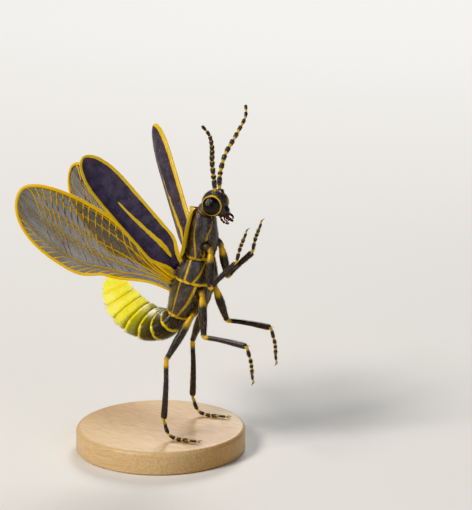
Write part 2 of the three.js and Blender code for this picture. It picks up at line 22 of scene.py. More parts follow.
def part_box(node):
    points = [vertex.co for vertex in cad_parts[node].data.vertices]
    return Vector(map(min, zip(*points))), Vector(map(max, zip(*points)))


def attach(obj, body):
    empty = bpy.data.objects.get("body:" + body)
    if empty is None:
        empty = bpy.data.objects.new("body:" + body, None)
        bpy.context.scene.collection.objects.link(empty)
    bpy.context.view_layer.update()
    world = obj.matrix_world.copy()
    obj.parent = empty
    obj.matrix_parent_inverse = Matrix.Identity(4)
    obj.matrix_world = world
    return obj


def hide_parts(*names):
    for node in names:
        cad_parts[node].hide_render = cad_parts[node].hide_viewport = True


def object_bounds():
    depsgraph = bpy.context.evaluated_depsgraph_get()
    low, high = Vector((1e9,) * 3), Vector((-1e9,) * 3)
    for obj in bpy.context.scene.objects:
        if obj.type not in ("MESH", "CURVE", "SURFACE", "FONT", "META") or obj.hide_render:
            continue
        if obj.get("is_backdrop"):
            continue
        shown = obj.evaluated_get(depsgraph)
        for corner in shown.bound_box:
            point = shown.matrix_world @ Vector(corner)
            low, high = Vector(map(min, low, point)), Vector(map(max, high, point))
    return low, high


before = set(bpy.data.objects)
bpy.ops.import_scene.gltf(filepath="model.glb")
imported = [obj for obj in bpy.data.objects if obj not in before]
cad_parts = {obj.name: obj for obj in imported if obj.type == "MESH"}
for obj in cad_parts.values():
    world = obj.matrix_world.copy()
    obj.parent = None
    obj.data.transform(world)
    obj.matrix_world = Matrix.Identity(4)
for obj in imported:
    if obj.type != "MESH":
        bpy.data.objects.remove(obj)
CAD_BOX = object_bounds()

LOG = logging.getLogger("firefly")

MM = 0.001
BODY_FORWARD = 3.1
BASE_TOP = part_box("stand_base")[1].z / MM
TO_ROW = Matrix.Scale(MM, 4) @ Matrix.Translation((BODY_FORWARD, 0, BASE_TOP))

UP = Vector((0, 0, 1))
LEFT = Vector((0, 1, 0))

# The maps and attributes that finishes and hairs read
FORM_MAP = "Form"
BAKE_MAP = "OFBake"
HAIR_MARK = "hair"
TUFT_PATCH = 0.003
BRISTLE_CORNERS = 7

# Sockets of a Mix node set to colour
MIX_FACTOR, MIX_A, MIX_B, MIX_OUT = 0, 6, 7, 2

# Shares of a joint of an antenna or a foot that its middle line is laid through
JOINT_SHARES = (0, 0.33, 0.67, 1)

# Functions of a corner's turn round a form and its share along it
Place = Callable[[float, float], Vector]
Shape = Callable[[float, float], tuple[float, float]]
Mark = Callable[[float, float], float]
Marks = dict[str, Mark]

Form = bmesh.types.BMesh
Piece = bpy.types.Object
Tree = bpy.types.NodeTree
Node = bpy.types.Node
Socket = bpy.types.NodeSocket


class Side(Enum):
    """One of the animal's two sides, with the sign of its Y."""

    RIGHT = -1
    LEFT = 1

    @property
    def word(self) -> str:
        """The side's name as it stands in the names of nodes."""
        return self.name.lower()


class Slot(Enum):
    """The record's material slots."""

    BASE = "base_wood"
    SHELL = "dark_shell"
    PRONOTUM = "pronotum_shell"
    EYE = "eye_facets"
    ELYTRON = "elytron_shell"
    WING = "wing_membrane"
    LANTERN = "lantern_shell"
    LEG = "leg_shell"


def lerp(low: float, high: float, share: float) -> float:
    """The value at a share of the way from low to high."""
    return low + (high - low) * share


def smooth(low: float, high: float, value: float) -> float:
    """0 up to low, 1 from high on, and an even curve between."""
    share = min(1.0, max(0.0, (value - low) / (high - low)))
    return share * share * (3 - 2 * share)


def bell(value: float, middle: float, width: float) -> float:
    """1 at middle, fading out evenly over width on both sides."""
    return math.exp(-(((value - middle) / width) ** 2))


def from_back(turn: float) -> float:
    """Turn from the middle of the back, the same on both sides."""
    return min(turn, 1 - turn)


def level(value: float) -> Mark:
    """A mark that is the same all over a form."""
    return lambda turn, share: value


def fixed(x: float, y: float, z: float) -> Vector:
    """Default of a size that is a place or a way."""
    return field(default_factory=lambda: Vector((x, y, z)))


def rounded_end(share: float, start: float, tip: float) -> float:
    """Width, as a share, of an outline that rounds off from start to its end.

    Args:
        share: Place along the outline, from 0 to 1.
        start: Where the rounding starts.
        tip: Width left at the end.

    Returns:
        The width as a share of the full one.
    """
    into = max(0.0, share - start) / (1 - start)
    return max(tip, math.sqrt(max(0.0, 1 - into**2.4)))


def even_stops(count: int) -> list[float]:
    """Shares from 0 to 1 at even steps."""
    return [index / count for index in range(count + 1)]


def round_stops(count: int) -> list[float]:
    """Shares from 0 to 1 that lie closer together towards both ends."""
    return [(1 - math.cos(math.pi * index / count)) / 2 for index in range(count + 1)]


def tip_stops(count: int) -> list[float]:
    """Shares from 0 to 1 that lie closer together towards the end."""
    return [1 - (1 - index / count) ** 1.6 for index in range(count + 1)]


def dome(share: float, reach: float) -> float:
    """Half width of a form that is round at both ends, each over a reach of its length."""
    near = min(share, 1 - share) / reach
    return math.sqrt(max(0.0, 1 - (1 - min(1.0, near)) ** 2))


class Course:
    """A smooth line through a few points, walked by shares of its length."""

    STEPS = 40

    def __init__(self, points: Sequence[Vector]) -> None:
        """Lays the line.

        Args:
            points: The points it passes through, in millimetres.
        """
        ends = [2 * points[0] - points[1], *points, 2 * points[-1] - points[-2]]
        spots = [np.array(points[0])]
        for span in range(len(points) - 1):
            four = [np.array(point) for point in ends[span:span + 4]]
            spots += [self._between(four, step / self.STEPS) for step in range(1, self.STEPS + 1)]
        self._spots = np.array(spots)
        steps = np.linalg.norm(np.diff(self._spots, axis=0), axis=1)
        self._reach = np.concatenate([[0.0], np.cumsum(steps)])
        self.length = float(self._reach[-1])

    @staticmethod
    def _between(four: list[np.ndarray], share: float) -> np.ndarray:
        """A point between the middle two of four, by the centripetal rule.

        Args:
            four: Four points that follow one another.
            share: How far from the second to the third.

        Returns:
            The point.
        """
        gaps = [max(1e-4, np.linalg.norm(four[i + 1] - four[i]) ** 0.5) for i in range(3)]
        step = four[2] - four[1]
        leave = (four[1] - four[0]) / gaps[0] - (four[2] - four[0]) / (gaps[0] + gaps[1])
        arrive = (four[3] - four[2]) / gaps[2] - (four[3] - four[1]) / (gaps[1] + gaps[2])
        leave = (leave + step / gaps[1]) * gaps[1]
        arrive = (arrive + step / gaps[1]) * gaps[1]
        bend = 3 * step - 2 * leave - arrive
        turn = leave + arrive - 2 * step
        return four[1] + leave * share + bend * share**2 + turn * share**3

    def at(self, share: float) -> Vector:
        """The point at a share of the length. Past an end, the line runs on straight."""
        inside = min(1.0, max(0.0, share))
        walked = inside * self.length
        spot = Vector([np.interp(walked, self._reach, self._spots[:, axis]) for axis in range(3)])
        if inside != share:
            spot += self.way(inside) * (share - inside) * self.length
        return spot

    def way(self, share: float) -> Vector:
        """The direction of the line at a share of its length."""
        step = 0.6 / self.STEPS / 3
        low = max(0.0, min(1 - step, share - step / 2))
        return (self.at(low + step) - self.at(low)).normalized()

    def part(self, start: float, end: float, shares: Sequence[float]) -> "Course":
        """A course of its own from start to end, through the places at some shares of that."""
        return Course([self.at(lerp(start, end, share)) for share in shares])

    def axes(self, share: float) -> tuple[Vector, Vector]:
        """The two directions across the line: sideways, and square to both."""
        way = self.way(share)
        across = (LEFT - way * LEFT.dot(way)).normalized()
        return across, way.cross(across)


def course_through(*points: tuple[float, float, float]) -> Course:
    """A course through places given as plain numbers."""
    return Course([Vector(point) for point in points])


def swept(
    place: Place,
    sides: int,
    stops: Sequence[float],
    marks: Marks | None = None,
    cell: tuple[float, float] = (0.0, 1.0),
    endless: bool = False,
) -> Form:
    """A closed form: a circle extruded from stop to stop, whose rings are then set in place.

    Args:
        place: Gives a corner's place from its turn round the form and its share along it.
        sides: Corners in a ring.
        stops: Shares at which the rings stand.
        marks: Attributes of the corners, by name, each from turn and share.
        cell: The part of the form map's width that this form takes.
        endless: True where the last ring joins the first instead of both being closed.

    Returns:
        The form, with its form map and marks.
    """
    form = bmesh.new()
    chart = form.loops.layers.uv.new(FORM_MAP)
    for name in marks or {}:
        form.verts.layers.float.new(name)
    bmesh.ops.create_circle(form, cap_ends=False, radius=1.0, segments=sides)
    first = list(form.edges)
    rim = first
    for _ in stops[1:]:
        made = bmesh.ops.extrude_edge_only(form, edges=rim)["geom"]
        rim = [part for part in made if isinstance(part, bmesh.types.BMEdge)]
        corners = [part for part in made if isinstance(part, bmesh.types.BMVert)]
        bmesh.ops.translate(form, verts=corners, vec=UP)
    if endless:
        bmesh.ops.bridge_loops(form, edges=first + rim)
    start = sides / 4
    spots = {}
    for corner in form.verts:
        turned = math.atan2(corner.co.y, corner.co.x) / math.tau * sides
        spots[corner] = (round(turned - start) % sides / sides, stops[round(corner.co.z)])
    for face in form.faces:
        turns = [spots[loop.vert][0] for loop in face.loops]
        wraps = max(turns) - min(turns) > 0.5
        for loop in face.loops:
            turn, share = spots[loop.vert]
            turn += 1 if wraps and turn < 0.5 else 0
            loop[chart].uv = (lerp(*cell, turn), share)
    for name, mark in (marks or {}).items():
        layer = form.verts.layers.float[name]
        for corner, spot in spots.items():
            corner[layer] = mark(*spot)
    for corner, spot in spots.items():
        corner.co = place(*spot)
    if not endless:
        ends = (first, rim)
        lids = [bmesh.ops.contextual_create(form, geom=edges)["faces"][0] for edges in ends]
        bmesh.ops.poke(form, faces=lids)
    return form


def limb(
    course: Course,
    shape: Shape,
    sides: int,
    stops: Sequence[float],
    marks: Marks | None = None,
    cell: tuple[float, float] = (0.0, 1.0),
) -> Form:
    """A closed form along a course.

    Args:
        course: The line that it follows.
        shape: Gives a corner's reach sideways and square to that, from its turn and share.
        sides: Corners in a ring.
        stops: Shares at which the rings stand.
        marks: Attributes of the corners.
        cell: The part of the form map's width that this form takes.

    Returns:
        The form.
    """
    rails = {stop: (course.at(stop), *course.axes(stop)) for stop in stops}

    def place(turn: float, share: float) -> Vector:
        """A corner's place round the course."""
        middle, across, over = rails[share]
        sideways, square = shape(turn, share)
        return middle + across * sideways + over * square

    return swept(place, sides, stops, marks, cell)


def rod(radius_at: Callable[[float], float], flatness: float = 1.0) -> Shape:
    """A round or oval section.

    Args:
        radius_at: The half thickness sideways at a share of the length.
        flatness: The other half thickness, as a share of that one.

    Returns:
        The section, for limb.
    """

    def shape(turn: float, share: float) -> tuple[float, float]:
        """A corner's reach from the middle of the section."""
        radius, angle = radius_at(share), turn * math.tau
        return radius * math.cos(angle), radius * flatness * math.sin(angle)

    return shape


def lump(centre: Vector, half: Sequence[float], along: Vector) -> Form:
    """A small rounded plate of cuticle, as wings hinge on.

    Args:
        centre: Its middle.
        half: Its half sizes, the last one along its length.
        along: The way that its length points.

    Returns:
        The form.
    """
    turned = along.to_track_quat("Z", "Y").to_matrix()

    def place(turn: float, share: float) -> Vector:
        """A corner on the lump, which is a little blunter than an egg."""
        reach, angle = max(0.03, dome(share, 0.5) ** 0.9), turn * math.tau
        wide, deep = half[0] * reach * math.cos(angle), half[1] * reach * math.sin(angle)
        return centre + turned @ Vector((wide, deep, half[2] * (2 * share - 1)))

    return swept(place, 24, round_stops(18), {"rim": level(0.0)})


def joined(forms: Sequence[Form]) -> Form:
    """Several closed forms in one mesh. The forms are used up."""
    whole = forms[0]
    for form in forms[1:]:
        scrap = bpy.data.meshes.new("scrap")
        form.to_mesh(scrap)
        whole.from_mesh(scrap)
        bpy.data.meshes.remove(scrap)
        form.free()
    return whole


def linear(code: str) -> tuple[float, float, float, float]:
    """A colour from its sRGB hex code, as the linear values that shaders take."""
    parts = [int(code[index:index + 2], 16) / 255 for index in (0, 2, 4)]
    red, green, blue = [c / 12.92 if c <= 0.04045 else ((c + 0.055) / 1.055) ** 2.4 for c in parts]
    return red, green, blue, 1.0


def per_mm(size: float) -> float:
    """Scale of a pattern on Object coordinates whose features are this many millimetres wide."""
    return 1 / (size * MM)


def add_node(tree: Tree, kind: str, feeds: dict, **settings: object) -> Node:
    """Adds a node with its settings and links.

    Args:
        tree: The node tree.
        kind: The node's type.
        feeds: What goes into its sockets, by name or index: a value, or a socket to link.
        settings: The node's own properties.

    Returns:
        The node.
    """
    node = tree.nodes.new(kind)
    for name, value in settings.items():
        setattr(node, name, value)
    for key, value in feeds.items():
        if isinstance(value, Socket):
            tree.links.new(value, node.inputs[key])
        else:
            node.inputs[key].default_value = value
    return node


@dataclass(frozen=True)
class Finish:
    """What a surface is made of. Each kind makes a shader of its own."""

    name: str

    def material(self) -> bpy.types.Material:
        """The finish's material, made once and shared by its pieces."""
        known = bpy.data.materials.get(self.name)
        if known is not None:
            return known
        made = bpy.data.materials.new(self.name)
        made.use_nodes = True
        made.node_tree.nodes.clear()
        shader = self.shader(made.node_tree)
        add_node(made.node_tree, "ShaderNodeOutputMaterial", {"Surface": shader.outputs[0]})
        return made

    def shader(self, tree: Tree) -> Node:
        """Builds the shader in an empty tree and returns its last node."""
        raise NotImplementedError

    @staticmethod
    def spot(tree: Tree) -> Socket:
        """The place of a point on the piece, in metres."""
        return add_node(tree, "ShaderNodeTexCoord", {}).outputs["Object"]

    @staticmethod
    def mark(tree: Tree, name: str) -> Socket:
        """One of the piece's own marks."""
        return add_node(tree, "ShaderNodeAttribute", {}, attribute_name=name).outputs["Fac"]

    @staticmethod
    def mixed(tree: Tree, factor: object, low: object, high: object) -> Socket:
        """One colour turned to another by a factor."""
        feeds = {MIX_FACTOR: factor, MIX_A: low, MIX_B: high}
        return add_node(tree, "ShaderNodeMix", feeds, data_type="RGBA").outputs[MIX_OUT]

    @staticmethod
    def step(tree: Tree, value: Socket, low: float, high: float) -> Socket:
        """0 up to low and 1 from high on, with an even curve between."""
        feeds = {"Value": value, "From Min": low, "From Max": high}
        node = add_node(tree, "ShaderNodeMapRange", feeds, interpolation_type="SMOOTHSTEP")
        return node.outputs["Result"]

    @staticmethod
    def ranged(tree: Tree, value: Socket, low: float, high: float, top: float = 1.0) -> Socket:
        """A value between 0 and top, turned evenly to one between low and high."""
        feeds = {"Value": value, "From Max": top, "To Min": low, "To Max": high}
        return add_node(tree, "ShaderNodeMapRange", feeds).outputs["Result"]

    @staticmethod
    def noise(tree: Tree, spot: Socket, size: float, detail: float = 2.0) -> Socket:
        """Cloudy noise whose features are this many millimetres wide."""
        feeds = {"Vector": spot, "Scale": per_mm(size), "Detail": detail}
        return add_node(tree, "ShaderNodeTexNoise", feeds).outputs["Fac"]

    @staticmethod
    def pits(tree: Tree, spot: Socket, size: float) -> Socket:
        """0 in the middle of each of many cells this many millimetres wide, and more around."""
        feeds = {"Vector": spot, "Scale": per_mm(size)}
        return add_node(tree, "ShaderNodeTexVoronoi", feeds).outputs["Distance"]

    @staticmethod
    def bump(tree: Tree, height: Socket, depth: float, under: Socket | None = None) -> Socket:
        """The slopes of a relief of some depth in millimetres, laid over another relief or none."""
        feeds = {"Height": height, "Distance": depth * MM}
        if under is not None:
            feeds["Normal"] = under
        return add_node(tree, "ShaderNodeBump", feeds).outputs["Normal"]

    @staticmethod
    def maths(tree: Tree, operation: str, *values: object) -> Socket:
        """The outcome of a sum on up to three values."""
        node = add_node(tree, "ShaderNodeMath", dict(enumerate(values)), operation=operation)
        return node.outputs[0]

    @staticmethod
    def surface(tree: Tree, feeds: dict) -> Node:
        """The shader itself, from what goes into its sockets."""
        return add_node(tree, "ShaderNodeBsdfPrincipled", feeds)


@dataclass(frozen=True)
class Cuticle(Finish):
    """Sclerotised insect cuticle: hard, satin and finely punctured, with pale hind margins.

    The punctures break up the gloss, and a slow change of tone keeps a plate from looking painted.
    """

    deep: str
    light: str
    margin: str
    roughness: float = 0.36
    puncture: float = 0.11
    relief: float = 0.012
    mottle: float = 1.1

    def shader(self, tree: Tree) -> Node:
        """Builds the shader."""
        spot = self.spot(tree)
        tone = self.step(tree, self.noise(tree, spot, self.mottle, 4.0), 0.32, 0.7)
        colour = self.mixed(tree, tone, linear(self.deep), linear(self.light))
        colour = self.mixed(tree, self.mark(tree, "rim"), colour, linear(self.margin))
        depth = self.step(tree, self.pits(tree, spot, self.puncture), 0.0, 0.45)
        fine = self.noise(tree, spot, 0.06)
        grain = self.bump(tree, fine, 0.3 * self.relief, self.bump(tree, depth, self.relief))
        return self.surface(tree, {
            "Base Color": colour, "IOR": 1.55, "Coat Weight": 0.15, "Coat Roughness": 0.25,
            "Roughness": self.ranged(tree, fine, self.roughness - 0.06, self.roughness + 0.1),
            "Normal": grain})


@dataclass(frozen=True)
class ElytronShell(Finish):
    """Leathery wing case: satin, closely punctured, with pale edges and one pale stripe.

    A firefly's wing cases are softer than other beetles', so they shine less and look granular.
    """

    deep: str
    light: str
    pale: str

    def shader(self, tree: Tree) -> Node:
        """Builds the shader."""
        spot = self.spot(tree)
        wobble = self.noise(tree, spot, 0.55, 5.0)
        tone = self.step(tree, wobble, 0.3, 0.7)
        colour = self.mixed(tree, tone, linear(self.deep), linear(self.light))
        blur = self.maths(tree, "SUBTRACT", wobble, 0.5)
        ragged = self.maths(tree, "MULTIPLY_ADD", blur, 0.9, self.mark(tree, "pale"))
        colour = self.mixed(tree, self.step(tree, ragged, 0.4, 0.6), colour, linear(self.pale))
        depth = self.step(tree, self.pits(tree, spot, 0.13), 0.0, 0.5)
        return self.surface(tree, {
            "Base Color": colour, "Roughness": self.ranged(tree, depth, 0.62, 0.4), "IOR": 1.55,
            "Sheen Weight": 0.15, "Sheen Roughness": 0.4, "Normal": self.bump(tree, depth, 0.022)})


@dataclass(frozen=True)
class PronotumShell(Finish):
    """Shield cuticle: straw yellow rim, a rosy disc and a dark bar along the middle.

    The rim is thin enough to let some light in, so it looks waxy beside the dark plates.
    """

    rim: str
    disc: str
    bar: str

    def shader(self, tree: Tree) -> Node:
        """Builds the shader."""
        spot = self.spot(tree)
        colour = self.mixed(tree, self.mark(tree, "disc"), linear(self.rim), linear(self.disc))
        colour = self.mixed(tree, self.mark(tree, "bar"), colour, linear(self.bar))
        shade = self.ranged(tree, self.noise(tree, spot, 0.5, 4.0), 0.0, 0.3)
        colour = self.mixed(tree, shade, colour, linear(self.bar))
        depth = self.step(tree, self.pits(tree, spot, 0.16), 0.0, 0.4)
        return self.surface(tree, {
            "Base Color": colour, "Roughness": 0.38, "IOR": 1.55, "Subsurface Weight": 0.15,
            "Subsurface Radius": (0.3, 0.2, 0.1), "Subsurface Scale": MM,
            "Normal": self.bump(tree, depth, 0.015)})


@dataclass(frozen=True)
class LightOrgan(Finish):
    """Light organ cuticle: clear and waxy, over a painted glow, as the model is no lamp.

    The painted glow, a lighter colour and an emission, is strongest at the tip and fades forwards
    to dark rings.
    """

    lit: str
    edge: str
    half_lit: str
    dark: str
    strength: float

    def shader(self, tree: Tree) -> Node:
        """Builds the shader."""
        spot, glow = self.spot(tree), self.mark(tree, "glow")
        # Painted glow: the glow mark lightens the colour from dark through half lit to lit
        dim, bright = self.step(tree, glow, 0.0, 0.45), self.step(tree, glow, 0.35, 0.9)
        colour = self.mixed(tree, dim, linear(self.dark), linear(self.half_lit))
        colour = self.mixed(tree, bright, colour, linear(self.lit))
        rimmed = self.mixed(tree, self.mark(tree, "rim"), colour, linear(self.edge))
        cells, cloud = self.pits(tree, spot, 0.12), self.noise(tree, spot, 0.6, 3.0)
        # Painted glow: an emission in patches and cells, though the model gives off no light of its
        # own
        patchy = self.ranged(tree, cloud, 0.65 * self.strength, 1.35 * self.strength)
        power = self.maths(tree, "MULTIPLY", self.maths(tree, "POWER", glow, 1.6), patchy)
        power = self.maths(tree, "MULTIPLY", power, self.ranged(tree, cells, 1.2, 0.6, 0.7))
        return self.surface(tree, {
            "Base Color": rimmed, "Roughness": 0.34, "IOR": 1.5, "Subsurface Weight": 0.3,
            "Subsurface Radius": (0.5, 0.45, 0.15), "Subsurface Scale": MM,
            "Emission Color": rimmed, "Emission Strength": power,
            "Normal": self.bump(tree, cells, 0.008)})


@dataclass(frozen=True)
class Membrane(Finish):
    """Wing membrane: clear smoky chitin a few hundredths of a millimetre thick.

    It shows what is behind it, clouds towards its tip and shines where it faces the light.
    """

    smoke: str
    cloud: str
    thin: float
    thick: float

    def shader(self, tree: Tree) -> Node:
        """Builds the shader."""
        spot = self.spot(tree)
        haze = self.noise(tree, spot, 1.6, 4.0)
        share = self.maths(tree, "MULTIPLY", self.mark(tree, "dusk"), haze)
        bristle = self.bump(tree, self.pits(tree, spot, 0.1), 0.006)
        folded = self.bump(tree, self.noise(tree, spot, 0.5, 3.0), 0.05, bristle)
        return self.surface(tree, {
            "Base Color": self.mixed(tree, share, linear(self.smoke), linear(self.cloud)),
            "Alpha": self.ranged(tree, share, self.thin, self.thick, 0.6), "Roughness": 0.22,
            "IOR": 1.56, "Coat Weight": 0.6, "Coat Roughness": 0.12, "Normal": folded})


@dataclass(frozen=True)
class Vein(Finish):
    """Wing vein: an amber tube of cuticle, golden along the wing's edge."""

    inner: str
    edge: str

    def shader(self, tree: Tree) -> Node:
        """Builds the shader."""
        grain = self.noise(tree, self.spot(tree), 0.09, 4.0)
        colour = self.mixed(tree, self.mark(tree, "gold"), linear(self.inner), linear(self.edge))
        return self.surface(tree, {
            "Base Color": colour, "Roughness": self.ranged(tree, grain, 0.38, 0.62), "IOR": 1.55,
            "Normal": self.bump(tree, grain, 0.025)})


@dataclass(frozen=True)
class EyeLens(Finish):
    """Compound eye: black, wet-looking lenses over dark pigment, with a faint bronze cast."""

    pupil: str
    cast: str

    def shader(self, tree: Tree) -> Node:
        """Builds the shader."""
        edge = add_node(tree, "ShaderNodeLayerWeight", {"Blend": 0.3}).outputs["Facing"]
        patch = self.noise(tree, self.spot(tree), 0.5)
        sheen = self.step(tree, self.maths(tree, "MULTIPLY", edge, patch), 0.1, 0.9)
        tone = self.step(tree, patch, 0.3, 0.75)
        return self.surface(tree, {
            "Base Color": self.mixed(tree, tone, linear(self.pupil), linear(self.cast)),
            "Roughness": self.ranged(tree, sheen, 0.1, 0.24), "IOR": 1.5, "Coat Weight": 0.5,
            "Coat Roughness": 0.05})


@dataclass(frozen=True)
class LimbCuticle(Finish):
    """Leg and antenna cuticle: dark, satin, and amber at the joints where it is thin."""

    dark: str
    amber: str

    def shader(self, tree: Tree) -> Node:
        """Builds the shader."""
        spot = self.spot(tree)
        cloud = self.noise(tree, spot, 0.4, 3.0)
        blur = self.maths(tree, "SUBTRACT", cloud, 0.5)
        share = self.maths(tree, "MULTIPLY_ADD", blur, 0.5, self.mark(tree, "amber"))
        tone = self.step(tree, share, 0.1, 0.9)
        return self.surface(tree, {
            "Base Color": self.mixed(tree, tone, linear(self.dark), linear(self.amber)),
            "Roughness": self.ranged(tree, cloud, 0.32, 0.5), "IOR": 1.55,
            "Normal": self.bump(tree, self.pits(tree, spot, 0.09), 0.012)})


@dataclass(frozen=True)
class FineHair(Finish):
    """Pubescence: short golden-grey bristles that catch the light as a soft bloom."""

    root: str
    tip: str

    def shader(self, tree: Tree) -> Node:
        """Builds the shader."""
        tint = self.step(tree, self.noise(tree, self.spot(tree), 0.5), 0.35, 0.65)
        return self.surface(tree, {
            "Base Color": self.mixed(tree, tint, linear(self.root), linear(self.tip)),
            "Roughness": 0.45, "IOR": 1.55, "Sheen Weight": 0.2})


@dataclass(frozen=True)
class OiledMaple(Finish):
    """Oiled maple, turned on a lathe: pale, close-grained, with pores and soft growth lines."""

    pale: str
    grain: str

    def shader(self, tree: Tree) -> Node:
        """Builds the shader."""
        log = add_node(tree, "ShaderNodeMapping", {
            "Vector": self.spot(tree), "Location": (0.0, 0.021, -0.012),
            "Rotation": (0.12, 0.06, 0.35)}).outputs["Vector"]
        feeds = {"Vector": log, "Scale": per_mm(9.0), "Detail": 2.0}
        warp = add_node(tree, "ShaderNodeTexNoise", feeds)
        feeds = {0: warp.outputs["Color"], "Scale": 1.6 * MM}
        bent = add_node(tree, "ShaderNodeVectorMath", feeds, operation="SCALE")
        moved = add_node(tree, "ShaderNodeVectorMath", {0: log, 1: bent.outputs[0]})
        rings = add_node(tree, "ShaderNodeTexWave", {
            "Vector": moved.outputs[0], "Scale": per_mm(1.5) / 20, "Distortion": 1.2, "Detail": 3.0,
            "Detail Scale": 2.0}, wave_type="RINGS", rings_direction="X").outputs["Fac"]
        feeds = {"Vector": log, "Scale": (per_mm(2.4), per_mm(0.1), per_mm(0.1))}
        fibre_space = add_node(tree, "ShaderNodeMapping", feeds).outputs["Vector"]
        feeds = {"Vector": fibre_space, "Scale": 1.0, "Detail": 4.0}
        fibre = add_node(tree, "ShaderNodeTexNoise", feeds).outputs["Fac"]
        tone = self.step(tree, self.maths(tree, "MULTIPLY_ADD", rings, 0.45, fibre), 0.3, 1.1)
        return self.surface(tree, {
            "Base Color": self.mixed(tree, tone, linear(self.pale), linear(self.grain)),
            "Roughness": self.ranged(tree, fibre, 0.36, 0.55), "IOR": 1.47,
            "Coat Weight": 0.12, "Coat Roughness": 0.3, "Normal": self.bump(tree, fibre, 0.02)})


@dataclass(frozen=True)
class StudioPaper(Finish):
    """Matt background paper, lit evenly from behind where the lamps' light dies away."""

    colour: str
    backlight: float = 0.8

    def shader(self, tree: Tree) -> Node:
        """Builds the shader."""
        away = add_node(tree, "ShaderNodeVectorMath", {0: self.spot(tree)}, operation="LENGTH")
        far = self.step(tree, away.outputs["Value"], 0.03, 0.5)
        colour = linear(self.colour)
        return self.surface(tree, {
            "Base Color": colour, "Roughness": 0.9, "Emission Color": colour,
            "Emission Strength": self.maths(tree, "MULTIPLY", far, self.backlight)})


SHELL = Cuticle("Dark cuticle", deep="39383a", light="525052", margin="e8bd20")
SOFT_SKIN = Cuticle("Jointing membrane", deep="4a3f36", light="6b5a48", margin="8a6a3a",
                    roughness=0.5)
HEAD_SHELL = Cuticle("Head cuticle", deep="343335", light="4b494b", margin="e8bd20", roughness=0.3)
JAW = Cuticle("Jaw cuticle", deep="3a1d12", light="5c2e1a", margin="1b0f0b", roughness=0.22,
              relief=0.004)
SHIELD = PronotumShell("Pronotum cuticle", rim="e3bf3a", disc="b35a30", bar="2a2120")
CASE = ElytronShell("Wing case cuticle", deep="3b3748", light="524c61", pale="eac42c")
LANTERN = LightOrgan("Light organ cuticle", lit="f4ec4e", edge="f0d810", half_lit="9c9a34",
                     dark="3d3b3a", strength=1.1)
FILM = Membrane("Wing membrane", smoke="544c44", cloud="332f2d", thin=0.46, thick=0.7)
VEINS = Vein("Wing vein cuticle", inner="8f7426", edge="e6bb1e")
EYE = EyeLens("Eye lenses", pupil="030303", cast="0d0a09")
LIMB = LimbCuticle("Leg cuticle", dark="373436", amber="dcae26")
HAIR = FineHair("Golden pubescence", root="6e5a36", tip="c4a768")
MAPLE = OiledMaple("Oiled maple", pale="d8bb8d", grain="b08a5a")
PAPER = StudioPaper("Background paper", colour="e0dfdc")


def put(name: str, data: bpy.types.ID) -> Piece:
    """An object of some data, in the scene."""
    made = bpy.data.objects.new(name, data)
    bpy.context.scene.collection.objects.link(made)
    return made


def set_down(
    name: str,
    form: Form,
    finish: Finish,
    slot: Slot,
    nodes: Sequence[str] = (),
    side: Side = Side.RIGHT,
) -> Piece:
    """Turns a form into a piece of the part, in metres, that rides on the part's body.

    Args:
        name: The piece's name.
        form: Its shape in millimetres, on the right side or in the middle.
        finish: What it is made of.
        slot: The record's slot for the finish; not used.
        nodes: The solids that it stands for.
        side: The side that it ends up on.

    Returns:
        The piece's object.
    """
    bmesh.ops.scale(form, vec=(1, -side.value, 1), verts=form.verts)
    bmesh.ops.transform(form, matrix=TO_ROW, verts=form.verts)
    bmesh.ops.recalc_face_normals(form, faces=form.faces)
    mesh = bpy.data.meshes.new(name)
    form.to_mesh(mesh)
    form.free()
    mesh.shade_smooth()
    mesh.materials.append(finish.material())
    piece = put(name, mesh)
    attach(piece, "root")
    if nodes:
        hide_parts(*nodes)
    LOG.info("%s: %d faces", name, len(mesh.polygons))
    return piece


def set_pair(
    name: str, form: Form, finish: Finish, slot: Slot, node: str = "",
) -> list[Piece]:
    """Sets a form down on the right and, mirrored, on the left.

    Args:
        name: The pieces' name, without the side.
        form: The right one's shape.
        finish: What they are made of.
        slot: The record's slot that the finish comes from.
        node: Name of the solids that they stand for, without the side.

    Returns:
        Both pieces.
    """
    pair = []
    for side in Side:
        nodes = [f"{node}_{side.word}"] if node else []
        pair.append(set_down(f"{name}_{side.word}", form.copy(), finish, slot, nodes, side))
    form.free()
    return pair


